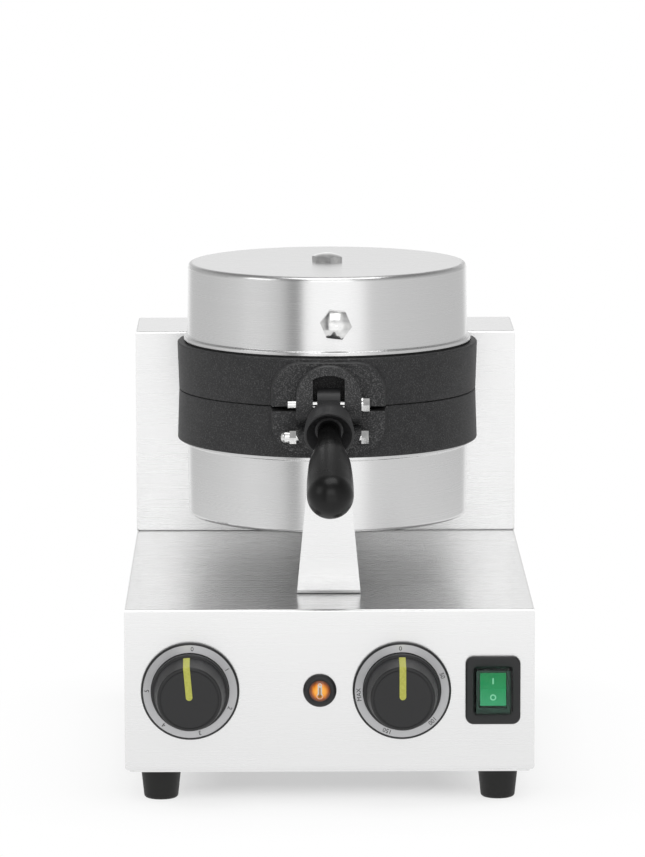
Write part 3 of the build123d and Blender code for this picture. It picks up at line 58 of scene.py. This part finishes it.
def new_finish(name, colour, metallic, roughness, specular=0.5):
    """A material with its shader set, returned with its node tree and its shader."""
    finish = bpy.data.materials.new(name)
    finish.use_nodes = True
    shader = finish.node_tree.nodes["Principled BSDF"]
    shader.inputs["Base Color"].default_value = (*colour, 1)
    shader.inputs["Metallic"].default_value = metallic
    shader.inputs["Roughness"].default_value = roughness
    shader.inputs["Specular IOR Level"].default_value = specular
    return finish, finish.node_tree, shader


def grey(level):
    """A neutral colour of one level."""
    return (level, level, level)


def feed(tree, source, socket):
    """Join a source to a socket, or set a plain value on it."""
    if isinstance(source, bpy.types.NodeSocket):
        tree.links.new(source, socket)
    else:
        socket.default_value = source


def number_step(tree, operation, *values):
    """One sum on numbers or patterns."""
    step = tree.nodes.new("ShaderNodeMath")
    step.operation = operation
    for value, socket in zip(values, step.inputs):
        feed(tree, value, socket)
    return step.outputs["Value"]


def place_on_piece(tree, shift=(0, 0, 0), stretch=(1, 1, 1)):
    """Where a point lies on the press, stretched and then shifted for a pattern."""
    place = tree.nodes.new("ShaderNodeTexCoord")
    fit = tree.nodes.new("ShaderNodeMapping")
    fit.inputs["Location"].default_value = shift
    fit.inputs["Scale"].default_value = stretch
    tree.links.new(place.outputs["Object"], fit.inputs["Vector"])
    return fit.outputs["Vector"]


def along(tree, place, axis):
    """How far a place or direction goes along one axis."""
    split = tree.nodes.new("ShaderNodeSeparateXYZ")
    tree.links.new(place, split.inputs["Vector"])
    return split.outputs[axis]


def surface_pattern(tree, per_metre, detail=3.0):
    """Noise with so many features per metre along each axis."""
    noise = tree.nodes.new("ShaderNodeTexNoise")
    noise.inputs["Scale"].default_value = 1
    noise.inputs["Detail"].default_value = detail
    tree.links.new(place_on_piece(tree, stretch=per_metre), noise.inputs["Vector"])
    return noise.outputs["Fac"]


def spread(tree, pattern, low, high, start=0.3, end=0.7):
    """Map a pattern between start and end to low..high."""
    fit = tree.nodes.new("ShaderNodeMapRange")
    fit.inputs["From Min"].default_value = start
    fit.inputs["From Max"].default_value = end
    fit.inputs["To Min"].default_value = low
    fit.inputs["To Max"].default_value = high
    tree.links.new(pattern, fit.inputs["Value"])
    return fit.outputs["Result"]


def shades(tree, pattern, *stops):
    """Turn a pattern into colours, one for each (place, colour) stop."""
    ramp = tree.nodes.new("ShaderNodeValToRGB")
    steps = ramp.color_ramp.elements
    while len(steps) < len(stops):
        steps.new(1.0)
    for step, (place, colour) in zip(steps, stops):
        step.position = place
        step.color = (*colour, 1)
    tree.links.new(pattern, ramp.inputs["Fac"])
    return ramp.outputs["Color"]


def vary(tree, shader, pattern, dark, pale, smooth=None, rough=None):
    """Let a pattern vary a finish from dark to pale, and from smooth to rough."""
    tint = shades(tree, pattern, (0.3, dark), (0.7, pale))
    tree.links.new(tint, shader.inputs["Base Color"])
    if smooth is not None:
        tree.links.new(spread(tree, pattern, smooth, rough), shader.inputs["Roughness"])


def emboss(tree, shader, pattern, height):
    """Raise a pattern by a height in metres."""
    bump = tree.nodes.new("ShaderNodeBump")
    bump.inputs["Distance"].default_value = height
    tree.links.new(pattern, bump.inputs["Height"])
    tree.links.new(bump.outputs["Normal"], shader.inputs["Normal"])


def facing(tree, axis):
    """How squarely the surface faces along an axis, from 0 to 1."""
    shape = tree.nodes.new("ShaderNodeNewGeometry")
    return number_step(tree, "ABSOLUTE", along(tree, shape.outputs["Normal"], axis))


def blend(tree, share, first, second, kind="FLOAT", how="MIX"):
    """Change from one pattern or colour to another as the share goes from 0 to 1."""
    mix = tree.nodes.new("ShaderNodeMix")
    mix.data_type = kind
    mix.blend_type = how
    feed(tree, share, mix.inputs["Factor"])
    feed(tree, first, mix.inputs["A"])
    feed(tree, second, mix.inputs["B"])
    return mix.outputs["Result"]


def level_grain(tree, shader, strength):
    """Stretch reflections across a grain that lies level on upright faces and along X on tops."""
    across = tree.nodes.new("ShaderNodeCombineXYZ")
    across.inputs["Z"].default_value = 1
    on_top = number_step(tree, "GREATER_THAN", facing(tree, "Z"), 0.7)
    tree.links.new(on_top, across.inputs["Y"])
    tree.links.new(across.outputs["Vector"], shader.inputs["Tangent"])
    shader.inputs["Anisotropic"].default_value = strength


def dress(finish, *names):
    """Give CAD nodes a finish."""
    for name in names:
        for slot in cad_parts[name].material_slots:
            slot.material = finish


sheet_steel, tree, shader = new_finish("brushed_sheet", grey(0.81), 0.92, 0.26)
grain_x = surface_pattern(tree, (5, 2600, 2600))
grain_y = surface_pattern(tree, (2600, 5, 2600))
sheet_grain = blend(tree, facing(tree, "X"), grain_x, grain_y)
vary(tree, shader, sheet_grain, grey(0.802), grey(0.814), 0.25, 0.28)
emboss(tree, shader, sheet_grain, 0.0000002)
level_grain(tree, shader, 0.5)
dress(
    sheet_steel,
    "base_shell", "tower_cover", "bottom_plate", "rear_panel", "support_bracket", "rear_bracket",
)

# Feet and lead grommets: moulded black rubber with a dull, slightly dusty skin. A screw through
# each foot holds it to the base, and the grommets snap into their holes.
rubber, tree, shader = new_finish("black_rubber", grey(0.016), 0.0, 0.6, 0.35)
skin = surface_pattern(tree, (900, 900, 900), 4)
vary(tree, shader, skin, grey(0.008), (0.016, 0.016, 0.015), 0.5, 0.68)
emboss(tree, shader, skin, 0.00002)
dress(rubber, "feet", "lid_grommet", "tower_grommet")

# Bolts, nuts, studs, hinge pin and lead tube: bright stainless, turned or cold-formed. They
# clamp the press together, and light handling marks cloud their shine.
bright_steel, tree, shader = new_finish("bright_steel", grey(0.72), 1.0, 0.12)
wear = surface_pattern(tree, (300, 300, 300), 5)
vary(tree, shader, wear, grey(0.64), (0.80, 0.80, 0.79), 0.08, 0.18)
emboss(tree, shader, wear, 0.000008)
dress(
    bright_steel,
    "foot_screws", "foot_nuts", "housing_screws", "lower_stud", "upper_stud", "lower_side_screw",
    "upper_side_screw", "lower_cap_nuts", "upper_cap_nuts", "bracket_bolts", "hinge_pin",
    "hinge_clip", "pivot_bolt", "latch_bolt", "latch_nut", "lead_tube", "lead_tube_nuts",
)

# Castings: both halves, sand-cast and coated dark grey. The coat is finely grained outside and
# coarser on the front pad, with painted glints of light on its grit, most on the pad. It is
# smoother and blacker inside the moulds, where the buns lie.
press_low, press_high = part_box("lower_cover")
press_x = (press_low.x + press_high.x) / 2
press_y = (press_low.y + press_high.y) / 2
pad_front = press_low.y
mould_rim = 0.066
mould_black = (0.014, 0.014, 0.015, 1)
mould_roughness = 0.3
mould_skin = 0.5
glint_start = 0.5
glint_full = 0.68


def from_centre(tree, place):
    """How far a place lies from the origin of its coordinates."""
    reach = tree.nodes.new("ShaderNodeVectorMath")
    reach.operation = "LENGTH"
    tree.links.new(place, reach.inputs[0])
    return reach.outputs["Value"]


cast_coat, tree, shader = new_finish("cast_coat", (0.02, 0.02, 0.021), 0.0, 0.5, 0.35)
grit = surface_pattern(tree, (2400, 2400, 2400), 2)
coarse_grit = surface_pattern(tree, (1500, 1500, 1500), 3)
mottle = surface_pattern(tree, (90, 90, 90), 3)
level_place = place_on_piece(tree, (-press_x, -press_y, 0), (1, 1, 0))
in_mould = number_step(tree, "LESS_THAN", from_centre(tree, level_place), mould_rim)
depth_back = along(tree, place_on_piece(tree), "Y")
on_pad = spread(tree, depth_back, 1, 0, pad_front - 0.004, pad_front + 0.002)
sand = blend(tree, on_pad, grit, coarse_grit)
base_coat = shades(tree, mottle, (0.3, (0.020, 0.020, 0.021)), (0.7, (0.028, 0.028, 0.029)))
# Painted glints: pale specks of light added to the coat's colour on the highest grit, stronger on
# the pad.
ring_glints = spread(tree, coarse_grit, 0, 0.45, glint_start, glint_full)
pad_glints = spread(tree, coarse_grit, 0, 1, glint_start, glint_full)
glint_share = blend(tree, on_pad, ring_glints, pad_glints)
painted_glints = shades(tree, glint_share, (0.0, grey(0.0)), (1.0, grey(0.14)))
coat_with_glints = blend(tree, 1, base_coat, painted_glints, "RGBA", "ADD")
coat_tint = blend(tree, in_mould, coat_with_glints, mould_black, "RGBA")
coat_gloss = blend(tree, in_mould, spread(tree, sand, 0.45, 0.62), mould_roughness)
coat_depth = blend(tree, in_mould, sand, mould_skin)
tree.links.new(coat_tint, shader.inputs["Base Color"])
tree.links.new(coat_gloss, shader.inputs["Roughness"])
emboss(tree, shader, coat_depth, 0.0001)
dress(cast_coat, "lower_casting", "upper_casting")

# Handle arm: cast like the moulds and in the same dark grey coat, but rubbed smoother by use.
# It turns on the pivot bolt between the ears, and its tang screws into the grip.
arm_coat, tree, shader = new_finish("arm_coat", (0.026, 0.026, 0.027), 0.0, 0.42, 0.45)
rubbed = surface_pattern(tree, (1900, 1900, 1900), 3)
vary(tree, shader, rubbed, (0.020, 0.020, 0.021), (0.034, 0.034, 0.035), 0.36, 0.5)
emboss(tree, shader, rubbed, 0.00002)
dress(arm_coat, "handle_arm")

# Drum covers: drawn from stainless sheet and polished round, so the grain circles the sides and
# runs straight over the flat ends. A cap nut on the centre stud holds each one.
drum_steel, tree, shader = new_finish("drum_steel", grey(0.75), 1.0, 0.26)
round_grain = surface_pattern(tree, (6, 6, 2600))
flat_grain = surface_pattern(tree, (5, 2600, 20))
drum_grain = blend(tree, facing(tree, "Z"), round_grain, flat_grain)
vary(tree, shader, drum_grain, grey(0.735), grey(0.755), 0.25, 0.28)
emboss(tree, shader, drum_grain, 0.0000004)
level_grain(tree, shader, 0.75)
dress(drum_steel, "lower_cover", "upper_cover")

# Heating elements: steel tubes bent to a ring and pressed against the castings inside the
# drums. Heat has browned them to a dull oxide.
oxide, tree, shader = new_finish("element_oxide", (0.2, 0.19, 0.18), 0.8, 0.5)
scale_spots = surface_pattern(tree, (260, 260, 260), 4)
vary(tree, shader, scale_spots, (0.12, 0.11, 0.10), (0.28, 0.27, 0.26), 0.4, 0.6)
dress(oxide, "lower_element", "upper_element")

# Insulation discs: off-white mineral fibre, pressed into boards that lie between the elements
# and the drums' ends.
fibre_board, tree, shader = new_finish("pressed_fibre", (0.8, 0.78, 0.72), 0.0, 0.9)
fibres = surface_pattern(tree, (500, 500, 1500), 5)
vary(tree, shader, fibres, (0.68, 0.66, 0.60), (0.84, 0.82, 0.77))
emboss(tree, shader, fibres, 0.0002)
dress(fibre_board, "lower_insulation", "upper_insulation")

# Sensor and earth stud: a drawn bulb with its thin tube, and a threaded stud with its nuts on
# the base, both of plain copper that has tarnished a little.
copper, tree, shader = new_finish("plain_copper", (0.72, 0.45, 0.28), 1.0, 0.3)
tarnish = surface_pattern(tree, (200, 200, 200), 4)
vary(tree, shader, tarnish, (0.55, 0.33, 0.20), (0.78, 0.50, 0.32), 0.22, 0.4)
dress(copper, "sensor_bulb", "earth_stud")

# Grip: black phenolic with a domed end, moulded and polished, and screwed on the arm's tang.
# Its shine is slightly wavy from the polishing.
grip_black, tree, shader = new_finish("grip_black", grey(0.004), 0.0, 0.3, 0.3)
ripple = surface_pattern(tree, (220, 220, 220), 2)
vary(tree, shader, ripple, grey(0.003), grey(0.005), 0.27, 0.34)
emboss(tree, shader, ripple, 0.00001)
dress(grip_black, "handle_grip")

# Knobs, dial rims, pilot bezel, switch frame and cable gland: black plastic, moulded with a
# finely eroded skin. The knobs push on their shafts, and the rest clip or screw to the sheet.
knob_black, tree, shader = new_finish("knob_black", (0.022, 0.022, 0.023), 0.0, 0.42, 0.4)
eroded = surface_pattern(tree, (2600, 2600, 2600), 2)
vary(tree, shader, eroded, (0.019, 0.019, 0.020), (0.026, 0.026, 0.027), 0.36, 0.5)
emboss(tree, shader, eroded, 0.000006)
dress(
    knob_black,
    "timer_knob", "thermostat_knob", "timer_dial_rim", "thermostat_dial_rim", "pilot_bezel",
    "pilot_nut", "switch_frame", "cable_gland", "gland_nut",
)

# Control shafts: turned steel rods that carry the knobs, with the marks of the turning tool
# running round them.
shaft_steel, tree, shader = new_finish("turned_shaft", grey(0.66), 1.0, 0.3)
turning = surface_pattern(tree, (40, 2500, 40), 2)
vary(tree, shader, turning, grey(0.58), grey(0.70), 0.2, 0.4)
dress(shaft_steel, "timer_shaft", "thermostat_shaft")

# Control bodies and terminal block: pale brown moulded plastic cases, screwed to the sheet
# behind the panel.
case_plastic, tree, shader = new_finish("case_plastic", (0.5, 0.47, 0.4), 0.0, 0.5)
flow = surface_pattern(tree, (90, 90, 90), 4)
vary(tree, shader, flow, (0.44, 0.42, 0.35), (0.56, 0.53, 0.46), 0.4, 0.6)
dress(case_plastic, "timer_body", "thermostat_body", "terminal_block")

# Pointers: yellow-green plastic inlays, pressed into a groove that runs up the knob's side and
# over its face.
pointer_yellow, tree, shader = new_finish("pointer_yellow", (0.60, 0.60, 0.12), 0.0, 0.4, 0.3)
inlay_skin = surface_pattern(tree, (900, 900, 900), 3)
vary(tree, shader, inlay_skin, (0.55, 0.56, 0.10), (0.66, 0.66, 0.15), 0.32, 0.5)
dress(pointer_yellow, "timer_pointer", "thermostat_pointer")

# Dial rings: thin satin aluminium, turned round, so light fans out on them from the centre.
# Each lies in the floor of its black rim.
for control in ("timer", "thermostat"):
    low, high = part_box(f"{control}_dial_ring")
    dial_metal, tree, shader = new_finish(f"{control}_dial_metal", (0.66, 0.66, 0.67), 1.0, 0.3)
    from_shaft = place_on_piece(tree, -(low + high) / 2)
    rings = tree.nodes.new("ShaderNodeTexWave")
    rings.wave_type = "RINGS"
    rings.rings_direction = "Y"
    rings.inputs["Scale"].default_value = 900
    rings.inputs["Distortion"].default_value = 1.5
    rings.inputs["Detail"].default_value = 3
    rings.inputs["Detail Scale"].default_value = 2
    tree.links.new(from_shaft, rings.inputs["Vector"])
    turned = rings.outputs["Fac"]
    satin = shades(tree, turned, (0.2, (0.62, 0.62, 0.63)), (0.8, (0.70, 0.70, 0.71)))
    tree.links.new(satin, shader.inputs["Base Color"])
    tree.links.new(spread(tree, turned, 0.38, 0.46), shader.inputs["Roughness"])
    emboss(tree, shader, turned, 0.000002)
    tree.links.new(from_shaft, shader.inputs["Tangent"])
    shader.inputs["Anisotropic"].default_value = 0.9
    dress(dial_metal, f"{control}_dial_ring")

# Dial numbers: black ink, pad-printed on the rings in a thin film. Their tops point outwards,
# and they follow the ring clockwise from the top, in degrees.
print_thickness = 0.00006
number_radius = 0.02635
number_height = 0.0027
dial_print = {
    "timer": (("0", 3), ("1", 59), ("2", 113), ("3", 167), ("4", 218), ("5", 271)),
    "thermostat": (("0", -2), ("50", 69), ("100", 135), ("150", 200), ("MAX", 265)),
}
print_ink, tree, shader = new_finish("print_ink", grey(0.02), 0.0, 0.6, 0.2)
ink_cover = surface_pattern(tree, (3000, 3000, 3000), 2)
vary(tree, shader, ink_cover, grey(0.012), grey(0.035))


def printed_word(text, height):
    """A printed word as a thin mesh, centred on its own middle, in the XY plane."""
    curve = bpy.data.curves.new(text, "FONT")
    curve.body = text
    curve.size = height * 1.4
    curve.align_x = "CENTER"
    curve.extrude = print_thickness / 2
    curve.resolution_u = 4
    carrier = bpy.data.objects.new(text, curve)
    bpy.context.scene.collection.objects.link(carrier)
    settled = carrier.evaluated_get(bpy.context.evaluated_depsgraph_get())
    word = bpy.data.meshes.new_from_object(settled)
    bpy.data.objects.remove(carrier)
    heights = [v.co.y for v in word.vertices]
    word.transform(Matrix.Translation((0, -(max(heights) + min(heights)) / 2, 0)))
    return word


def show(mesh, name, finish, body):
    """Link a finished mesh as a piece that rides on a body."""
    mesh.materials.clear()
    mesh.materials.append(finish)
    piece = bpy.data.objects.new(name, mesh)
    bpy.context.scene.collection.objects.link(piece)
    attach(piece, body)


face_user = Matrix.Rotation(math.pi / 2, 4, "X")
for control, words in dial_print.items():
    low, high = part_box(f"{control}_dial_ring")
    middle = (low + high) / 2
    dial_centre = Vector((middle.x, low.y - print_thickness / 2, middle.z))
    for word, clock in words:
        mesh = printed_word(word, number_height)
        turn = Matrix.Rotation(math.radians(clock), 4, "Y")
        to_ring = Matrix.Translation((0, 0, number_radius))
        mesh.transform(Matrix.Translation(dial_centre) @ turn @ to_ring @ face_user)
        show(mesh, f"{control}_mark_{word}", print_ink, "cabinet")

# Pilot lamp: a domed lens moulded in amber plastic and clipped in the bezel. Its colour is painted
# brightest in its middle, where the lamp sits, and darker towards the rim, and it glows faintly
# with that colour.
lens_low, lens_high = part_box("pilot_lens")
lens_radius = (lens_high.x - lens_low.x) / 2
lens_middle = (lens_low + lens_high) / 2
lens_front = Vector((lens_middle.x, lens_low.y, lens_middle.z))
amber, tree, shader = new_finish("amber_lens", (0.9, 0.36, 0.04), 0.0, 0.1, 0.5)
from_lamp = place_on_piece(tree, (-lens_front.x, 0, -lens_front.z), (1, 0, 1))
glow_ring = spread(tree, from_centre(tree, from_lamp), 0, 1, 0, lens_radius)
flutes = surface_pattern(tree, (700, 700, 260), 2)
# Painted glow: the amber is lightest in the middle and darkest at the rim.
lens_tint = shades(
    tree, number_step(tree, "MULTIPLY_ADD", flutes, 0.22, glow_ring),
    (0.1, (1.0, 0.52, 0.10)), (0.62, (0.92, 0.36, 0.03)),
    (0.86, (0.50, 0.13, 0.01)), (1.0, (0.16, 0.05, 0.02)),
)
tree.links.new(lens_tint, shader.inputs["Base Color"])
tree.links.new(lens_tint, shader.inputs["Emission Color"])
shader.inputs["Emission Strength"].default_value = 0.35
tree.links.new(spread(tree, flutes, 0.06, 0.16), shader.inputs["Roughness"])
dress(amber, "pilot_lens")

# Temperature sign: a small thermometer printed on the lens in white ink, with its column in
# amber ink over it.
dome_radius = 0.0136
sign_white, tree, shader = new_finish("sign_white", (0.85, 0.83, 0.78), 0.0, 0.4, 0.3)
white_cover = surface_pattern(tree, (2500, 2500, 2500), 2)
vary(tree, shader, white_cover, (0.74, 0.70, 0.62), (0.9, 0.88, 0.84))
sign_column, tree, shader = new_finish("sign_column", (0.42, 0.20, 0.05), 0.0, 0.4, 0.3)
amber_cover = surface_pattern(tree, (2500, 2500, 2500), 2)
vary(tree, shader, amber_cover, (0.36, 0.16, 0.03), (0.48, 0.24, 0.06))


def thermometer(name, finish, stem, bulb, top, foot, proud):
    """A stem with a round bulb under it, laid on the lens's dome and held proud of it."""
    sign = bmesh.new()
    bmesh.ops.create_circle(sign, cap_ends=True, segments=24, radius=bulb)
    bmesh.ops.translate(sign, verts=sign.verts, vec=(0, foot, 0))
    tube = bmesh.ops.create_grid(sign, x_segments=2, y_segments=12, size=0.5)["verts"]
    bmesh.ops.scale(sign, verts=tube, vec=(stem * 2, top - foot, 1))
    bmesh.ops.translate(sign, verts=tube, vec=(0, (top + foot) / 2, 0))
    cap = bmesh.ops.create_circle(sign, cap_ends=True, segments=24, radius=stem)["verts"]
    bmesh.ops.translate(sign, verts=cap, vec=(0, top, 0))
    bmesh.ops.transform(sign, matrix=face_user, verts=sign.verts)
    for v in sign.verts:
        drop = dome_radius - math.sqrt(dome_radius ** 2 - v.co.x ** 2 - v.co.z ** 2)
        v.co.y = drop - proud
    bmesh.ops.translate(sign, verts=sign.verts, vec=lens_front)
    mesh = bpy.data.meshes.new(name)
    sign.to_mesh(mesh)
    sign.free()
    show(mesh, name, finish, "cabinet")


thermometer("pilot_sign", sign_white, stem=0.0013, bulb=0.0020, top=0.0036, foot=-0.0029,
            proud=0.00004)
thermometer("pilot_sign_column", sign_column, stem=0.0004, bulb=0.0011, top=0.0020, foot=-0.0029,
            proud=0.00008)

# Rocker: green plastic, moulded in one piece and clipped on two side pins in the switch frame.
# Its green has painted shade, darker towards its upper half, as if that half caught less of the
# light through the boot.
rocker_low, rocker_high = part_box("rocker")
rocker_green, tree, shader = new_finish("rocker_green", (0.0, 0.34, 0.13), 0.0, 0.3, 0.3)
cloud = surface_pattern(tree, (160, 160, 160), 2)
height_up = along(tree, place_on_piece(tree), "Z")
up_face = spread(tree, height_up, 0, 0.8, rocker_low.z, rocker_high.z)
# Painted shade: the green darkens towards the top of the rocker.
rocker_tint = shades(
    tree, number_step(tree, "MULTIPLY_ADD", cloud, 0.2, up_face),
    (0.1, (0.09, 0.45, 0.26)), (0.5, (0.01, 0.36, 0.15)), (0.9, (0.0, 0.29, 0.10)),
)
tree.links.new(rocker_tint, shader.inputs["Base Color"])
tree.links.new(spread(tree, cloud, 0.24, 0.36), shader.inputs["Roughness"])
dress(rocker_green, "rocker")

# Switch boot: a soft clear cover moulded in one piece, which snaps over the rocker and keeps
# batter out. It is faintly hazy and takes the rocker's green.
clear_boot, tree, shader = new_finish("clear_boot", (0.62, 0.95, 0.80), 0.0, 0.05, 0.5)
haze = surface_pattern(tree, (350, 350, 350), 3)
tree.links.new(spread(tree, haze, 0.03, 0.1), shader.inputs["Roughness"])
shader.inputs["Transmission Weight"].default_value = 1
shader.inputs["IOR"].default_value = 1.3
emboss(tree, shader, haze, 0.00001)
dress(clear_boot, "switch_boot")

# Switch marks: a bar for on and a ring for off, moulded in white plastic and set in the
# rocker's two faces, of which the lower one leans back.
mark_thickness = 0.0001
mark_height = 0.0038
mark_stroke = 0.0008
lower_lean = math.radians(14)
upper_stand_out = 0.00212
upper_height = 0.0768
lower_stand_out = 0.00334
lower_height = 0.0669
base_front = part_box("base_shell")[0].y
switch_x = sum(corner.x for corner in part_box("switch_frame")) / 2
upper_face = Vector((switch_x, base_front - upper_stand_out, upper_height))
lower_face = Vector((switch_x, base_front - lower_stand_out, lower_height))
mark_white, tree, shader = new_finish("mark_white", (0.7, 0.9, 0.78), 0.0, 0.4, 0.3)
mark_cover = surface_pattern(tree, (2500, 2500, 2500), 2)
vary(tree, shader, mark_cover, (0.60, 0.85, 0.70), (0.76, 0.93, 0.82))


def place_mark(mark, name, lean, spot):
    """Thicken a flat mark, lean it back onto its face and show it on the rocker."""
    bmesh.ops.solidify(mark, geom=mark.faces[:], thickness=mark_thickness)
    bmesh.ops.recalc_face_normals(mark, faces=mark.faces)
    sunk = max(v.co.z for v in mark.verts)
    bmesh.ops.translate(mark, verts=mark.verts, vec=(0, 0, mark_thickness - sunk))
    stand = Matrix.Translation(spot) @ Matrix.Rotation(-lean, 4, "X") @ face_user
    bmesh.ops.transform(mark, matrix=stand, verts=mark.verts)
    mesh = bpy.data.meshes.new(name)
    mark.to_mesh(mesh)
    mark.free()
    show(mesh, name, mark_white, "rocker")


bar = bmesh.new()
bmesh.ops.create_grid(bar, x_segments=1, y_segments=4, size=0.5)
bmesh.ops.scale(bar, verts=bar.verts, vec=(mark_stroke, mark_height, 1))
place_mark(bar, "switch_on_mark", 0, upper_face)
ring = bmesh.new()
bmesh.ops.create_circle(ring, cap_ends=False, segments=48, radius=mark_height / 2)
inner_edge = bmesh.ops.extrude_edge_only(ring, edges=ring.edges[:])["geom"]
inner_verts = [v for v in inner_edge if isinstance(v, bmesh.types.BMVert)]
closer = 1 - 2 * mark_stroke / mark_height
bmesh.ops.scale(ring, verts=inner_verts, vec=(closer, closer, 1))
bmesh.ops.recalc_face_normals(ring, faces=ring.faces)
place_mark(ring, "switch_off_mark", lower_lean, lower_face)

# Floor: a round white table top, painted matt. To the eye it turns to the white of the room a
# short way from the base. Nearer the base it shows the press's real shadow, deepened by a painted
# shadow round the base.
table_radius = 0.75
shadow_reach = 0.06
base_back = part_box("tower_cover")[1].y
half_width = cad_box[1].x
half_depth = (base_back - base_front) / 2
table = bmesh.new()
bmesh.ops.create_circle(table, cap_ends=True, segments=96, radius=table_radius)
table_mesh = bpy.data.meshes.new("table_top")
table.to_mesh(table_mesh)
table.free()
table_top = bpy.data.objects.new("table_top", table_mesh)
bpy.context.scene.collection.objects.link(table_top)
white_paint, tree, shader = new_finish("white_paint", grey(0.86), 0.0, 0.9, 0.0)
vary(tree, shader, surface_pattern(tree, (4, 4, 4), 2), grey(0.86), grey(0.88))


def vector_step(tree, operation, *values):
    """One sum on places or directions."""
    step = tree.nodes.new("ShaderNodeVectorMath")
    step.operation = operation
    for value, socket in zip(values, step.inputs):
        feed(tree, value, socket)
    return step.outputs["Vector"]


from_middle = place_on_piece(tree, (0, -(base_front + base_back) / 2, 0))
folded = vector_step(tree, "ABSOLUTE", from_middle)
footprint = (half_width - shadow_reach, half_depth - shadow_reach, 0)
outside = vector_step(tree, "MAXIMUM", vector_step(tree, "SUBTRACT", folded, footprint))
# Painted shadow: the white glow seen by the eye fades out near the base's footprint, darker the
# closer it is.
white_beyond_painted_shadow = shades(
    tree, from_centre(tree, outside),
    (0.0, grey(0.15)), (0.017, grey(0.3)), (0.046, grey(0.68)),
    (0.075, grey(0.87)), (0.105, grey(0.95)), (0.16, grey(1)),
)
path = tree.nodes.new("ShaderNodeLightPath").outputs
to_eye = number_step(tree, "MULTIPLY", path["Is Camera Ray"], white_beyond_painted_shadow)
mirrored = number_step(tree, "MAXIMUM", path["Is Glossy Ray"], path["Is Transmission Ray"])
glow = tree.nodes.new("ShaderNodeEmission")
painted = tree.nodes.new("ShaderNodeMixShader")
tree.links.new(number_step(tree, "MAXIMUM", to_eye, mirrored), painted.inputs["Fac"])
tree.links.new(shader.outputs["BSDF"], painted.inputs[1])
tree.links.new(glow.outputs["Emission"], painted.inputs[2])
tree.links.new(painted.outputs["Shader"], tree.nodes["Material Output"].inputs["Surface"])
table_mesh.materials.append(white_paint)

# Room: white to the eye, but metal mirrors a studio with a bright screen behind the camera, a
# narrow dark gap on its left and pale grey walls. Each wall has its bearing in degrees from the
# camera, and its level.
walls = (
    (-180, 1.25), (-150, 0.55), (-110, 0.6), (-70, 0.72), (-40, 0.64), (-34, 0.5), (-30, 0.27),
    (-23, 0.27), (-19, 1.12), (-14, 1.12), (26, 1.12), (36, 0.72), (60, 0.66), (110, 0.6),
    (150, 0.55), (180, 1.25),
)
room = bpy.data.worlds.new("room")
bpy.context.scene.world = room
room.use_nodes = True
tree = room.node_tree
direction = tree.nodes.new("ShaderNodeTexCoord").outputs["Generated"]
to_camera = number_step(tree, "MULTIPLY", along(tree, direction, "Y"), -1)
bearing = number_step(tree, "ARCTAN2", along(tree, direction, "X"), to_camera)
turn_share = spread(tree, bearing, 0, 1, -math.pi, math.pi)
wall_tone = shades(tree, turn_share, *((0.5 + angle / 360, grey(level)) for angle, level in walls))
rise = spread(tree, along(tree, direction, "Z"), 0, 1, -0.3, 0.7)
ceiling = shades(
    tree, rise, (0.27, grey(1)), (0.40, grey(0.78)), (0.6, grey(0.74)), (1.0, grey(0.35)),
)
mirrored = blend(tree, 1, wall_tone, ceiling, "RGBA", "MULTIPLY")
path = tree.nodes.new("ShaderNodeLightPath").outputs
tone = blend(tree, path["Is Glossy Ray"], (1, 1, 1, 1), mirrored, "RGBA")
seen = number_step(tree, "MAXIMUM", path["Is Camera Ray"], path["Is Transmission Ray"])
to_eye = spread(tree, seen, 0.5, 1.0, 0, 1)
to_metal = spread(tree, path["Is Glossy Ray"], 0, 0.65, 0, 1)
light = tree.nodes["Background"]
tree.links.new(tone, light.inputs["Color"])
tree.links.new(number_step(tree, "ADD", to_eye, to_metal), light.inputs["Strength"])

# Lamps: three large soft boxes, one above, one behind the camera and one at the left, all
# turned to the middle of the press.
target = Vector((0, 0, 0.17))
for name, spot, size, power in (
    ("top_box", (0.1, -0.3, 1.9), (1.4, 1.0), 9),
    ("front_box", (0.15, -3.6, 1.9), (2.4, 1.6), 16),
    ("left_box", (-2.4, -1.4, 1.6), (1.4, 1.4), 8),
):
    lamp = bpy.data.lights.new(name, "AREA")
    lamp.shape = "RECTANGLE"
    lamp.size, lamp.size_y = size
    lamp.energy = power
    box = bpy.data.objects.new(name, lamp)
    bpy.context.scene.collection.objects.link(box)
    box.location = spot
    box.rotation_euler = (target - Vector(spot)).to_track_quat("-Z", "Y").to_euler()

# Camera: a long lens at the photograph's height, which looks slightly down at the front of the
# press from a little way to its left.
camera_distance = 3.250
camera_height = 0.704
camera_x = -0.027
turn_right = math.radians(0.404)
tilt_down = math.radians(8.26)
roll = math.radians(0.10)
focal_pixels = 5428
frame_height = 857
lens_data = bpy.data.cameras.new("camera")
lens_data.sensor_width = 36
lens_data.lens = focal_pixels * lens_data.sensor_width / frame_height
lens_data.clip_end = 50
camera = bpy.data.objects.new("camera", lens_data)
bpy.context.scene.collection.objects.link(camera)
look = Vector((
    math.sin(turn_right) * math.cos(tilt_down),
    math.cos(turn_right) * math.cos(tilt_down),
    -math.sin(tilt_down),
))
camera.matrix_world = (
    Matrix.Translation((camera_x, base_front - camera_distance, camera_height))
    @ look.to_track_quat("-Z", "Y").to_matrix().to_4x4()
    @ Matrix.Rotation(-roll, 4, "Z")
)
bpy.context.scene.camera = camera
bpy.context.scene.view_settings.view_transform = "Standard"
